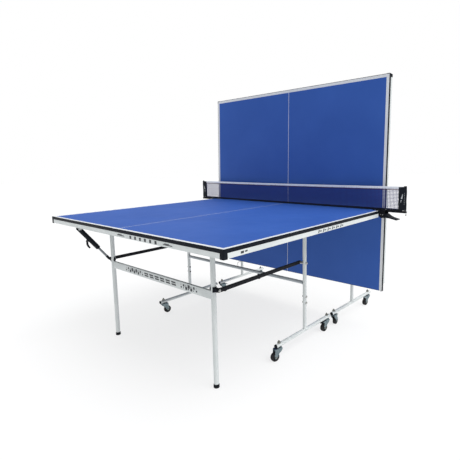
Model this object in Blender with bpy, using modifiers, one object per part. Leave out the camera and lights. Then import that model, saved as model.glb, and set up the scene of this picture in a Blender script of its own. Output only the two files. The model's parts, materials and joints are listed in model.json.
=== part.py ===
"""Folding ping pong table on two trolleys: one half laid flat, the other stood up for solo play.

Units are metres, +Z up. Each half is built flat, with its net edge at X = 0 and its baseline towards
-X, and is then folded and placed by the empties on its joint axes. The origin is on the floor, under
the middle of the whole object.
"""

import math

import bmesh
import bpy
from mathutils import Matrix, Vector

# Playing halves
BOARD_LENGTH = 1.370
BOARD_WIDTH = 1.525
SURFACE_HEIGHT = 0.760
BOARD_THICKNESS = 0.013
BAND_THICKNESS = 0.002
UNDERSIDE = SURFACE_HEIGHT - BOARD_THICKNESS

# Steel apron: an angle section on the two sides and the baseline
APRON_HEIGHT = 0.025
APRON_SHELF = 0.020
SHEET = 0.0015
APRON_NET_GAP = 0.047
CORNER_SIZE = 0.020
CORNER_THICKNESS = 0.0015

# Fold linkage: posts and legs hang from the top on equal parallel pivots
PIVOT_HEIGHT = 0.728
POST_X = -0.503
POST_Y = 0.527
LEG_X = -1.149
LEG_Y = 0.456
STRUT_HEIGHT = 0.490
STRUT_Y = (POST_Y + LEG_Y) / 2
STRUT_DEPTH = 0.020
STRUT_THICKNESS = 0.010

# Tubes and pins
POST_RADIUS = 0.011
LEG_RADIUS = 0.0125
CROSSBAR_RADIUS = 0.010
WALL = 0.0015
PIN_RADIUS = 0.004
PIN_HOLE_RADIUS = 0.0046
GAP = 0.0003
EAR_THICKNESS = 0.003
EAR_GAP = 0.0012
EAR_HALF_WIDTH = 0.011
EAR_DROP = 0.009
PIN_PROUD = 0.002
POST_ABOVE_PIVOT = 0.008
LEG_ABOVE_PIVOT = 0.007
STRUT_PIN_PROUD = 0.003
STRAP_WIDTH = 0.030
STRAP_THICKNESS = 0.003

# Trolley
BEAM_HEIGHT = 0.086
BEAM_HALF_LENGTH = 0.277
CROSSBAR_HEIGHT = 0.372
JOIN_HEIGHT = 0.312
SOCKET_DEPTH = 0.075
SWAGE_GAP = 0.0006
SWAGE_BORE = 0.0068
SWAGE_SLOPE = 0.004

# Casters
CASTER_OFFSET = 0.247
CASTER_TRAIL = 0.028
WHEEL_RADIUS = 0.025
WHEEL_WIDTH = 0.020
AXLE_RADIUS = 0.003
AXLE_HOLE_RADIUS = 0.0035
FORK_TOP = BEAM_HEIGHT - POST_RADIUS - 0.0006
FORK_SHEET = 0.002
FORK_GAP = 0.001
FORK_HEAD_RADIUS = 0.0165
FORK_HEAD_THICKNESS = 0.004
FORK_EAR_RADIUS = 0.009
STEM_ABOVE_BEAM = 0.016
AXLE_PROUD = 0.0015

# Leg frame
FOOT_HEIGHT = 0.019
FOOT_WALL = 0.002
FOOT_FLOOR = 0.004
PLATE_BOTTOM = 0.438
PLATE_TOP = 0.480
PLATE_DEPTH = 0.012

# Latch: a rod pinned to the left leg runs in a sleeve pinned under the baseline
LATCH_Y = LEG_Y + LEG_RADIUS + 0.008
LATCH_TOP = (-1.338, 0.708)
LATCH_FOOT = (-1.167, 0.499)
SLEEVE_LENGTH = 0.172
SLEEVE_RADIUS = 0.0135
SLEEVE_BORE = 0.0115
ROD_RADIUS = 0.0062
LATCH_PIN_RADIUS = 0.0032
ROD_START = 0.014
ROD_PAST_PIN = 0.006
SLEEVE_ABOVE_PIN = 0.008
LATCH_EAR_HALF_WIDTH = 0.008
LATCH_STRAP_HALF_WIDTH = 0.020
LATCH_STRAP_PAST_PIN = 0.012
TRIGGER_PLACE = 0.092
TRIGGER_OFFSET = SLEEVE_RADIUS + 0.0055
TRIGGER_WIDTH = 0.010
TRIGGER_PIN_RADIUS = 0.002
TRIGGER_CURVE = 0.040
TRIGGER_HALF_DEPTH = 0.0035
TRIGGER_ARC = (160, 230)
TRIGGER_PIN_ARC = 165
TRIGGER_LUG_GAP = 0.0006
TRIGGER_LUG_THICKNESS = 0.0025
TRIGGER_LUG_RADIUS = 0.0042

# Net set
NET_HEIGHT = 0.1525
NET_HALF_LENGTH = 0.915
NET_THICKNESS = 0.002
NET_SLEEVE_WIDTH = 0.036
NET_SLEEVE_DEPTH = 0.010
NET_SLOT_HALF = 0.0013
NET_IN_SLEEVE = 0.0085
ARM_TOP = 0.0075
ARM_HALF_WIDTH = 0.009
CLAMP_SIDE = BOARD_WIDTH / 2
CLAMP_X = (-0.040, 0.024)
CLAMP_OUT = 0.010
CLAMP_DROP = 0.029
JAW_IN = 0.022
JAW_END_X = 0.002
JAW_TOP = 0.0055
LEVER_LUGS_X = (-0.038, 0.019)
LEVER_LUG_THICKNESS = 0.003
LEVER_PIN_RADIUS = 0.003
LEVER_HOLE_RADIUS = 0.0036
LEVER_PIVOT_Y = CLAMP_SIDE + 0.022
LEVER_PIVOT_Z = 0.738
LEVER_SPAN = (-0.034, 0.018)

# Places of the two halves
REAR_LEAN = math.radians(1.4)
REAR_FOLD = math.pi / 2 - REAR_LEAN
REAR_POST_X = 0.080
REAR_REACH = REAR_POST_X + BEAM_HALF_LENGTH
NET_LINE_X = (BOARD_LENGTH + GAP + CORNER_THICKNESS - REAR_REACH) / 2

SIDES = {"left": 1, "right": -1}
TUBE_SIDES = 16
PIN_SIDES = 8


def clear_scene():
    for obj in list(bpy.data.objects):
        bpy.data.objects.remove(obj, do_unlink=True)


def new_collection(name):
    collection = bpy.data.collections.new(name)
    bpy.context.scene.collection.children.link(collection)
    return collection


def make_material(name, colour, roughness, metallic=0.0):
    material = bpy.data.materials.new(name)
    material.use_nodes = True
    shader = material.node_tree.nodes["Principled BSDF"]
    shader.inputs["Base Color"].default_value = (*colour, 1.0)
    shader.inputs["Roughness"].default_value = roughness
    shader.inputs["Metallic"].default_value = metallic
    return material


def add_object(name, mesh, material=None):
    obj = bpy.data.objects.new(name, mesh)
    if material:
        mesh.materials.append(material)
    PARTS.objects.link(obj)
    return obj


def as_cutter(obj):
    PARTS.objects.unlink(obj)
    CUTTERS.objects.link(obj)
    obj.hide_render = True
    obj.display_type = "WIRE"
    return obj


def smooth(obj):
    obj.data.shade_smooth()
    obj.data.set_sharp_from_angle(angle=math.radians(35))
    return obj


def box(name, low, high, material=None):
    """A box between two opposite corners."""
    low = Vector(low)
    high = Vector(high)
    mesh = bpy.data.meshes.new(name)
    shape = bmesh.new()
    size = Matrix.Diagonal((*(high - low), 1))
    bmesh.ops.create_cube(shape, size=1, matrix=Matrix.Translation((low + high) / 2) @ size)
    shape.to_mesh(mesh)
    shape.free()
    return add_object(name, mesh, material)


def rod(name, start, end, radius, sides=TUBE_SIDES, material=None, capped=True):
    """A cylinder from start to end. Uncapped, it is the open skin of a tube."""
    start = Vector(start)
    end = Vector(end)
    run = end - start
    turn = Vector((0, 0, 1)).rotation_difference(run).to_matrix().to_4x4()
    mesh = bpy.data.meshes.new(name)
    shape = bmesh.new()
    bmesh.ops.create_cone(
        shape,
        cap_ends=capped,
        segments=sides,
        radius1=radius,
        radius2=radius,
        depth=run.length,
        matrix=Matrix.Translation((start + end) / 2) @ turn,
    )
    shape.to_mesh(mesh)
    shape.free()
    return smooth(add_object(name, mesh, material))


def tube(name, start, end, radius, material=None):
    """A hollow round tube with open ends."""
    obj = rod(name, start, end, radius, material=material, capped=False)
    wall = obj.modifiers.new("wall", "SOLIDIFY")
    wall.thickness = WALL
    wall.offset = -1
    return obj


def turned(name, profile, place, steps=TUBE_SIDES, axis="Z", material=None):
    """A ring turned from a closed profile of (radius, height) points that run down its outer side."""
    mesh = bpy.data.meshes.new(name)
    shape = bmesh.new()
    points = [shape.verts.new((radius, 0, height)) for radius, height in profile]
    for first, second in zip(points, points[1:] + points[:1]):
        shape.edges.new((first, second))
    shape.to_mesh(mesh)
    shape.free()
    obj = add_object(name, mesh, material)
    obj.location = place
    if axis == "Y":
        obj.rotation_euler = (math.pi / 2, 0, 0)
    screw = obj.modifiers.new("turn", "SCREW")
    screw.steps = steps
    screw.render_steps = steps
    screw.use_merge_vertices = True
    screw.merge_threshold = 0.0001
    return obj


def plate(name, outline, low_y, high_y, material=None):
    """A flat plate upright in XZ: its outline of (x, z) points, between two values of Y."""
    curve = bpy.data.curves.new(name, "CURVE")
    curve.dimensions = "2D"
    curve.fill_mode = "BOTH"
    curve.extrude = (high_y - low_y) / 2
    spline = curve.splines.new("POLY")
    spline.points.add(len(outline) - 1)
    for point, (x, z) in zip(spline.points, outline):
        point.co = (x, z, 0, 1)
    spline.use_cyclic_u = True
    guide = bpy.data.objects.new(name, curve)
    PARTS.objects.link(guide)
    guide.location = (0, (low_y + high_y) / 2, 0)
    guide.rotation_euler = (math.pi / 2, 0, 0)
    return as_mesh(guide, material)


def as_mesh(guide, material=None):
    """Turns a curve object into a mesh object with welded caps, in world coordinates."""
    bpy.context.view_layer.update()
    graph = bpy.context.evaluated_depsgraph_get()
    mesh = bpy.data.meshes.new_from_object(guide.evaluated_get(graph))
    mesh.transform(guide.matrix_world)
    shape = bmesh.new()
    shape.from_mesh(mesh)
    bmesh.ops.remove_doubles(shape, verts=shape.verts, dist=0.00001)
    bmesh.ops.recalc_face_normals(shape, faces=shape.faces)
    shape.to_mesh(mesh)
    shape.free()
    name = guide.name
    bpy.data.objects.remove(guide, do_unlink=True)
    mesh.materials.clear()
    return add_object(name, mesh, material)


def arc(centre, radius, start, end, steps):
    """Points on an arc in XZ, from one angle in degrees to another."""
    angles = [math.radians(start + (end - start) * step / steps) for step in range(steps + 1)]
    return [(centre[0] + radius * math.cos(a), centre[1] + radius * math.sin(a)) for a in angles]


def combine(obj, other, operation):
    """Adds or cuts away another object, which then becomes a hidden cutter."""
    boolean = obj.modifiers.new(operation.lower(), "BOOLEAN")
    boolean.operation = operation
    boolean.object = as_cutter(other)
    return obj


def join(obj, *others):
    for other in others:
        combine(obj, other, "UNION")
    return obj


def cut(obj, *others):
    for other in others:
        combine(obj, other, "DIFFERENCE")
    return obj


def pin_hole(place, depth, radius=PIN_HOLE_RADIUS):
    """A cutter for a pin that crosses along Y."""
    x, y, z = place
    return rod("pin_hole", (x, y - depth / 2, z), (x, y + depth / 2, z), radius, PIN_SIDES)


def joint_axis(name, place):
    """An empty on a joint's axis: what hangs on it turns with it."""
    empty = bpy.data.objects.new(name, None)
    empty.empty_display_size = 0.05
    PARTS.objects.link(empty)
    empty.location = place
    return empty


def hang(children, parent):
    """Parents each object, and the cutters that its modifiers use, without moving it."""
    bpy.context.view_layer.update()
    for child in children:
        for obj in [child, *used_cutters(child)]:
            obj.parent = parent
            obj.matrix_parent_inverse = parent.matrix_world.inverted()


def used_cutters(obj):
    cutters = [modifier.object for modifier in obj.modifiers if modifier.type == "BOOLEAN"]
    return cutters + [deeper for cutter in cutters for deeper in used_cutters(cutter)]


def make_board(half):
    inset = BAND_THICKNESS + GAP
    return box(
        half + "_board",
        (-BOARD_LENGTH + inset, -BOARD_WIDTH / 2 + inset, UNDERSIDE),
        (-inset, BOARD_WIDTH / 2 - inset, SURFACE_HEIGHT),
        MATERIALS["board"],
    )


def make_edge_band(half):
    band = box(
        half + "_edge_band",
        (-BOARD_LENGTH, -BOARD_WIDTH / 2, UNDERSIDE),
        (0, BOARD_WIDTH / 2, SURFACE_HEIGHT),
        MATERIALS["black_plastic"],
    )
    core = box(
        "band_core",
        (-BOARD_LENGTH + BAND_THICKNESS, -BOARD_WIDTH / 2 + BAND_THICKNESS, UNDERSIDE - 0.01),
        (-BAND_THICKNESS, BOARD_WIDTH / 2 - BAND_THICKNESS, SURFACE_HEIGHT + 0.01),
    )
    return cut(band, core)


def pivot_ears(x, y, radius):
    """Two ears and the pin between them, below the strap at one pivot."""
    inner = radius + EAR_GAP
    outer = inner + EAR_THICKNESS
    top = UNDERSIDE - GAP - STRAP_THICKNESS / 2
    bottom = PIVOT_HEIGHT - EAR_DROP
    pieces = []
    for sign in (1, -1):
        near, far = sorted((y + sign * inner, y + sign * outer))
        pieces.append(box("ear", (x - EAR_HALF_WIDTH, near, bottom), (x + EAR_HALF_WIDTH, far, top)))
    reach = outer + PIN_PROUD
    pin = rod("pivot_pin", (x, y - reach, PIVOT_HEIGHT), (x, y + reach, PIVOT_HEIGHT), PIN_RADIUS, PIN_SIDES)
    return [*pieces, pin]


def latch_ears():
    """The two ears and the pin that hold the latch sleeve, below their own strap."""
    x, z = LATCH_TOP
    top = UNDERSIDE - GAP - STRAP_THICKNESS / 2
    reach = SLEEVE_RADIUS + EAR_GAP
    pieces = []
    for sign in (1, -1):
        near, far = sorted((LATCH_Y + sign * reach, LATCH_Y + sign * (reach + EAR_THICKNESS)))
        low = (x - LATCH_EAR_HALF_WIDTH, near, z - LATCH_EAR_HALF_WIDTH)
        pieces.append(box("latch_ear", low, (x + LATCH_EAR_HALF_WIDTH, far, top)))
    end = reach + EAR_THICKNESS + PIN_PROUD / 2
    pieces.append(rod("latch_pin", (x, LATCH_Y - end, z), (x, LATCH_Y + end, z), LATCH_PIN_RADIUS, PIN_SIDES))
    return pieces


def make_apron_frame(half):
    """A three-sided steel angle under the board, with the straps that carry the pivot ears."""
    top = UNDERSIDE - GAP
    side = BOARD_WIDTH / 2
    frame = box(
        half + "_apron_frame",
        (-BOARD_LENGTH, -side, top - APRON_HEIGHT),
        (-APRON_NET_GAP, side, top),
        MATERIALS["white_steel"],
    )
    opening = box(
        "frame_opening",
        (-BOARD_LENGTH + APRON_SHELF, -side + APRON_SHELF, top - 0.1),
        (0.1, side - APRON_SHELF, top + 0.1),
    )
    hollow = box(
        "frame_hollow",
        (-BOARD_LENGTH + SHEET, -side + SHEET, top - 0.1),
        (0.1, side - SHEET, top - SHEET),
    )
    cut(frame, opening, hollow)
    weld = SHEET / 3
    for x in (POST_X, LEG_X):
        strap = box(
            "strap",
            (x - STRAP_WIDTH / 2, -side + weld, top - weld - STRAP_THICKNESS),
            (x + STRAP_WIDTH / 2, side - weld, top - weld),
        )
        join(frame, strap)
    latch_strap = box(
        "latch_strap",
        (-BOARD_LENGTH + weld, LATCH_Y - LATCH_STRAP_HALF_WIDTH, top - weld - STRAP_THICKNESS),
        (LATCH_TOP[0] + LATCH_STRAP_PAST_PIN, LATCH_Y + LATCH_STRAP_HALF_WIDTH, top - weld),
    )
    join(frame, latch_strap, *latch_ears())
    for sign in SIDES.values():
        join(frame, *pivot_ears(POST_X, sign * POST_Y, POST_RADIUS))
        join(frame, *pivot_ears(LEG_X, sign * LEG_Y, LEG_RADIUS))
    return frame


def make_corner(half, side):
    """A rounded plastic cap around the board and apron at one baseline corner."""
    sign = SIDES[side]
    x = -BOARD_LENGTH - GAP
    y = sign * (BOARD_WIDTH / 2 + GAP)
    low = UNDERSIDE - APRON_HEIGHT - 0.002
    near, far = sorted((y + sign * CORNER_THICKNESS, y - sign * CORNER_SIZE))
    corner = box(
        f"{half}_{side}_corner",
        (x - CORNER_THICKNESS, near, low),
        (x + CORNER_SIZE, far, SURFACE_HEIGHT),
        MATERIALS["black_plastic"],
    )
    near, far = sorted((y, y - sign * 0.1))
    core = box("corner_core", (x, near, low - 0.01), (x + 0.1, far, SURFACE_HEIGHT + 0.01))
    cut(corner, core)
    return corner


def make_stand(half, side):
    """A floor beam with the lower post welded on it."""
    sign = SIDES[side]
    y = sign * POST_Y
    start = (POST_X - BEAM_HALF_LENGTH, y, BEAM_HEIGHT)
    end = (POST_X + BEAM_HALF_LENGTH, y, BEAM_HEIGHT)
    past = Vector((0.01, 0, 0))
    stand = rod(f"{half}_{side}_stand", start, end, POST_RADIUS, material=MATERIALS["white_steel"])
    post = rod("lower_post", (POST_X, y, BEAM_HEIGHT), (POST_X, y, JOIN_HEIGHT - GAP), POST_RADIUS)
    beam_bore = rod("beam_bore", Vector(start) - past, Vector(end) + past, POST_RADIUS - WALL)
    foot = BEAM_HEIGHT + POST_RADIUS + 0.001
    post_bore = rod("post_bore", (POST_X, y, foot), (POST_X, y, JOIN_HEIGHT + 0.01), POST_RADIUS - WALL)
    join(stand, post)
    cut(stand, beam_bore, post_bore)
    for offset in (-CASTER_OFFSET, CASTER_OFFSET):
        x = POST_X + offset
        low, high = (x, y, BEAM_HEIGHT - 0.03), (x, y, BEAM_HEIGHT + 0.03)
        hole = rod("stem_hole", low, high, PIN_HOLE_RADIUS, PIN_SIDES)
        cut(stand, hole)
    return stand


def make_post(half, side):
    """The upper post: its swaged foot sits in the lower post, and it carries the strut's pin."""
    sign = SIDES[side]
    y = sign * POST_Y
    foot = POST_RADIUS - WALL - SWAGE_GAP
    top = PIVOT_HEIGHT + POST_ABOVE_PIVOT
    profile = [
        (POST_RADIUS, top),
        (POST_RADIUS, JOIN_HEIGHT),
        (foot, JOIN_HEIGHT),
        (foot, JOIN_HEIGHT - SOCKET_DEPTH),
        (SWAGE_BORE, JOIN_HEIGHT - SOCKET_DEPTH),
        (SWAGE_BORE, JOIN_HEIGHT),
        (POST_RADIUS - WALL, JOIN_HEIGHT + SWAGE_SLOPE),
        (POST_RADIUS - WALL, top),
    ]
    post = turned(f"{half}_{side}_post", profile, (POST_X, y, 0), material=MATERIALS["white_steel"])
    head = y + sign * (POST_RADIUS + STRUT_PIN_PROUD)
    tip = sign * (STRUT_Y - STRUT_THICKNESS / 2 - STRUT_PIN_PROUD)
    pin = rod("strut_pin", (POST_X, head, STRUT_HEIGHT), (POST_X, tip, STRUT_HEIGHT), PIN_RADIUS, PIN_SIDES)
    cut(post, pin_hole((POST_X, y, PIVOT_HEIGHT), 0.04))
    join(post, pin)
    return post


def make_crossbar(half):
    reach = POST_Y - POST_RADIUS - GAP
    return tube(
        half + "_crossbar",
        (POST_X, -reach, CROSSBAR_HEIGHT),
        (POST_X, reach, CROSSBAR_HEIGHT),
        CROSSBAR_RADIUS,
        MATERIALS["white_steel"],
    )


def make_leg_frame(half):
    """Two leg tubes with a steel channel welded between them, and a pin for each strut."""
    bottom = FOOT_FLOOR + GAP
    top = PIVOT_HEIGHT + LEG_ABOVE_PIVOT
    channel = box(
        half + "_leg_frame",
        (LEG_X - PLATE_DEPTH / 2, -LEG_Y, PLATE_BOTTOM),
        (LEG_X + PLATE_DEPTH / 2, LEG_Y, PLATE_TOP),
        MATERIALS["white_steel"],
    )
    hollow = box(
        "channel_hollow",
        (LEG_X - PLATE_DEPTH / 2 + SHEET, -LEG_Y, PLATE_BOTTOM + SHEET),
        (LEG_X + PLATE_DEPTH, LEG_Y, PLATE_TOP - SHEET),
    )
    cut(channel, hollow)
    for sign in SIDES.values():
        y = sign * LEG_Y
        leg = rod("leg", (LEG_X, y, bottom), (LEG_X, y, top), LEG_RADIUS)
        tip = sign * (STRUT_Y + STRUT_THICKNESS / 2 + STRUT_PIN_PROUD)
        pin = rod("strut_pin", (LEG_X, y, STRUT_HEIGHT), (LEG_X, tip, STRUT_HEIGHT), PIN_RADIUS, PIN_SIDES)
        bore = rod("leg_bore", (LEG_X, y, bottom - 0.01), (LEG_X, y, top + 0.01), LEG_RADIUS - WALL)
        join(channel, leg, pin)
        cut(channel, bore, pin_hole((LEG_X, y, PIVOT_HEIGHT), 0.04))
    return channel


def make_foot(half, side):
    """A plastic cup under one leg."""
    bore = LEG_RADIUS + GAP
    outer = bore + FOOT_WALL
    profile = [
        (bore, FOOT_HEIGHT),
        (outer, FOOT_HEIGHT),
        (outer, 0.002),
        (outer - 0.002, 0),
        (0.003, 0),
        (0.003, FOOT_FLOOR),
        (bore, FOOT_FLOOR),
    ]
    place = (LEG_X, SIDES[side] * LEG_Y, 0)
    return turned(f"{half}_{side}_foot", profile, place, material=MATERIALS["black_plastic"])


def make_strut(half, side):
    """A flat bar with round ends, pinned to the post and to the leg."""
    y = SIDES[side] * STRUT_Y
    radius = STRUT_DEPTH / 2
    outline = arc((POST_X, STRUT_HEIGHT), radius, -90, 90, 6) + arc((LEG_X, STRUT_HEIGHT), radius, 90, 270, 6)
    strut = plate(
        f"{half}_{side}_strut",
        outline,
        y - STRUT_THICKNESS / 2,
        y + STRUT_THICKNESS / 2,
        MATERIALS["black_plastic"],
    )
    for x in (POST_X, LEG_X):
        cut(strut, pin_hole((x, y, STRUT_HEIGHT), 0.03))
    return strut


def latch_point(distance, offset=0.0):
    """A point in XZ at a distance down the latch from its top pin, and off its axis towards the baseline."""
    run = Vector(LATCH_FOOT) - Vector(LATCH_TOP)
    along = run.normalized()
    across = Vector((along.y, -along.x))
    return Vector(LATCH_TOP) + along * distance + across * offset


def in_latch_plane(point):
    return Vector((point.x, LATCH_Y, point.y))


def make_latch_sleeve(half):
    start = in_latch_plane(latch_point(-SLEEVE_ABOVE_PIN))
    end = in_latch_plane(latch_point(SLEEVE_LENGTH))
    bore_end = in_latch_plane(latch_point(SLEEVE_LENGTH + 0.01))
    bore_start = in_latch_plane(latch_point(-SLEEVE_ABOVE_PIN - 0.01))
    sleeve = rod(half + "_latch_sleeve", start, end, SLEEVE_RADIUS, material=MATERIALS["black_plastic"])
    bore = rod("sleeve_bore", bore_start, bore_end, SLEEVE_BORE)
    x, z = LATCH_TOP
    inner = TRIGGER_WIDTH / 2 + TRIGGER_LUG_GAP
    lugs = []
    for sign in (1, -1):
        near, far = sorted((LATCH_Y + sign * inner, LATCH_Y + sign * (inner + TRIGGER_LUG_THICKNESS)))
        lugs.append(plate("trigger_lug", trigger_lug_outline(), near, far))
    pivot = latch_point(TRIGGER_PLACE, TRIGGER_OFFSET)
    reach = inner + 0.0015
    pin = rod(
        "trigger_pin",
        (pivot.x, LATCH_Y - reach, pivot.y),
        (pivot.x, LATCH_Y + reach, pivot.y),
        TRIGGER_PIN_RADIUS,
        PIN_SIDES,
    )
    join(sleeve, *lugs, pin)
    cut(sleeve, bore, pin_hole((x, LATCH_Y, z), 0.04, LATCH_PIN_RADIUS + 0.0005))
    return sleeve


def trigger_lug_outline():
    """A lug from the sleeve's wall out past the trigger's pin, as points in XZ."""
    pivot = latch_point(TRIGGER_PLACE, TRIGGER_OFFSET)
    root = [latch_point(TRIGGER_PLACE + along, SLEEVE_RADIUS - 0.0036) for along in (-0.008, 0.008)]
    lean = math.degrees(math.atan2(pivot.y - LATCH_TOP[1], pivot.x - LATCH_TOP[0]))
    return [tuple(point) for point in root] + arc(tuple(pivot), TRIGGER_LUG_RADIUS, lean + 30, lean - 190, 4)


def make_latch_rod(half):
    start = in_latch_plane(latch_point(ROD_START))
    end = in_latch_plane(latch_point((Vector(LATCH_FOOT) - Vector(LATCH_TOP)).length + ROD_PAST_PIN))
    return rod(half + "_latch_rod", start, end, ROD_RADIUS, PIN_SIDES, MATERIALS["zinc"])


def make_latch_trigger(half):
    """A finger lever below the sleeve, curved away from it, that turns on the sleeve's trigger pin."""
    pivot = latch_point(TRIGGER_PLACE, TRIGGER_OFFSET)
    start, end = TRIGGER_ARC
    centre = (
        pivot.x - TRIGGER_CURVE * math.cos(math.radians(TRIGGER_PIN_ARC)),
        pivot.y - TRIGGER_CURVE * math.sin(math.radians(TRIGGER_PIN_ARC)),
    )
    outer = arc(centre, TRIGGER_CURVE + TRIGGER_HALF_DEPTH, start, end, 8)
    inner = arc(centre, TRIGGER_CURVE - TRIGGER_HALF_DEPTH, end, start, 8)
    near, far = LATCH_Y - TRIGGER_WIDTH / 2, LATCH_Y + TRIGGER_WIDTH / 2
    trigger = plate(half + "_latch_trigger", outer + inner, near, far, MATERIALS["black_plastic"])
    return cut(trigger, pin_hole((pivot.x, LATCH_Y, pivot.y), 0.03, TRIGGER_PIN_RADIUS + 0.0004))


def make_fork(half, name, x, y):
    """A swivel fork: head plate, stem through the beam, two ears and the axle between them."""
    axle_x = x - CASTER_TRAIL
    inner = WHEEL_WIDTH / 2 + FORK_GAP
    head_bottom = FORK_TOP - FORK_HEAD_THICKNESS
    stem_top = BEAM_HEIGHT + POST_RADIUS + STEM_ABOVE_BEAM
    low, high = (x, y, head_bottom), (x, y, FORK_TOP)
    fork = rod(f"{half}_{name}_fork", low, high, FORK_HEAD_RADIUS, material=MATERIALS["zinc"])
    stem = rod("stem", (x, y, head_bottom + 0.001), (x, y, stem_top), PIN_RADIUS, PIN_SIDES)
    outline = arc((axle_x, WHEEL_RADIUS), FORK_EAR_RADIUS, 160, 315, 5)
    outline += [(x + 0.009, head_bottom + 0.001), (x - 0.015, head_bottom + 0.001)]
    ears = []
    for sign in (1, -1):
        low, high = sorted((y + sign * inner, y + sign * (inner + FORK_SHEET)))
        ears.append(plate("fork_ear", outline, low, high))
    reach = inner + FORK_SHEET + AXLE_PROUD
    low, high = (axle_x, y - reach, WHEEL_RADIUS), (axle_x, y + reach, WHEEL_RADIUS)
    axle = rod("axle", low, high, AXLE_RADIUS, PIN_SIDES)
    return join(fork, stem, *ears, axle)


def make_wheel(half, name, x, y):
    edge = WHEEL_WIDTH / 2
    profile = [
        (WHEEL_RADIUS - 0.003, edge),
        (WHEEL_RADIUS, edge - 0.004),
        (WHEEL_RADIUS, -edge + 0.004),
        (WHEEL_RADIUS - 0.003, -edge),
        (AXLE_HOLE_RADIUS, -edge),
        (AXLE_HOLE_RADIUS, edge),
    ]
    place = (x - CASTER_TRAIL, y, WHEEL_RADIUS)
    return turned(f"{half}_{name}_wheel", profile, place, 20, "Y", MATERIALS["black_rubber"])


def make_casters(half, trolley, trails):
    """Four swivel casters. trails gives the way that each wheel trails at rest, in degrees about Z."""
    for side, sign in SIDES.items():
        for end, offset in (("outer", -CASTER_OFFSET), ("inner", CASTER_OFFSET)):
            name = f"{side}_{end}"
            x = POST_X + offset
            y = sign * POST_Y
            swivel = joint_axis(f"{half}_{name}_swivel_axis", (x, y, 0))
            hang([make_fork(half, name, x, y), make_wheel(half, name, x, y)], swivel)
            hang([swivel], trolley)
            swivel.rotation_euler = (0, 0, math.radians(trails[name]))


def make_half(half, trails):
    """One half in the flat position. Returns its empties, outermost first."""
    trolley = joint_axis(half + "_trolley_origin", (0, 0, 0))
    fold = joint_axis(half + "_fold_axis", (POST_X, 0, PIVOT_HEIGHT))
    leg_axis = joint_axis(half + "_leg_axis", (LEG_X, 0, PIVOT_HEIGHT))
    strut_axis = joint_axis(half + "_strut_axis", (POST_X, 0, STRUT_HEIGHT))
    sleeve_axis = joint_axis(half + "_sleeve_axis", (LATCH_TOP[0], LATCH_Y, LATCH_TOP[1]))
    rod_axis = joint_axis(half + "_rod_axis", (LATCH_FOOT[0], LATCH_Y, LATCH_FOOT[1]))
    hang([make_stand(half, side) for side in SIDES], trolley)
    hang([make_post(half, side) for side in SIDES], trolley)
    hang([make_crossbar(half)], trolley)
    hang([make_board(half), make_edge_band(half), make_apron_frame(half)], fold)
    hang([make_corner(half, side) for side in SIDES], fold)
    hang([make_leg_frame(half), *(make_foot(half, side) for side in SIDES)], leg_axis)
    hang([make_strut(half, side) for side in SIDES], strut_axis)
    hang([make_latch_sleeve(half), make_latch_trigger(half)], sleeve_axis)
    hang([make_latch_rod(half)], rod_axis)
    hang([fold, strut_axis], trolley)
    hang([leg_axis, sleeve_axis], fold)
    hang([rod_axis], leg_axis)
    make_casters(half, trolley, trails)
    return trolley, fold, leg_axis, strut_axis, sleeve_axis, rod_axis


def latch_turn():
    """How far the latch turns in the world while its half folds through a right angle."""
    leg_pivot = Vector((LEG_X, PIVOT_HEIGHT))
    top = Vector(LATCH_TOP) - leg_pivot
    folded_top = Vector((top.y, -top.x))
    flat_run = Vector(LATCH_FOOT) - Vector(LATCH_TOP)
    folded_run = Vector(LATCH_FOOT) - leg_pivot - folded_top
    flat_angle = math.atan2(-flat_run.y, flat_run.x)
    folded_angle = math.atan2(-folded_run.y, folded_run.x)
    return folded_angle - flat_angle


def fold_half(axes, angle):
    """Turns the linkage: the top turns about the posts, and the legs stay parallel to the posts."""
    trolley, fold, leg_axis, strut_axis, sleeve_axis, rod_axis = axes
    latch = latch_turn() * angle / (math.pi / 2)
    fold.rotation_euler = (0, angle, 0)
    strut_axis.rotation_euler = (0, angle, 0)
    leg_axis.rotation_euler = (0, -angle, 0)
    sleeve_axis.rotation_euler = (0, latch - angle, 0)
    rod_axis.rotation_euler = (0, latch, 0)


def make_net():
    reach = NET_HALF_LENGTH - NET_SLEEVE_WIDTH + NET_IN_SLEEVE
    return box(
        "net",
        (-NET_THICKNESS / 2, -reach, SURFACE_HEIGHT + ARM_TOP + GAP),
        (NET_THICKNESS / 2, reach, SURFACE_HEIGHT + NET_HEIGHT),
        MATERIALS["net"],
    )


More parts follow.
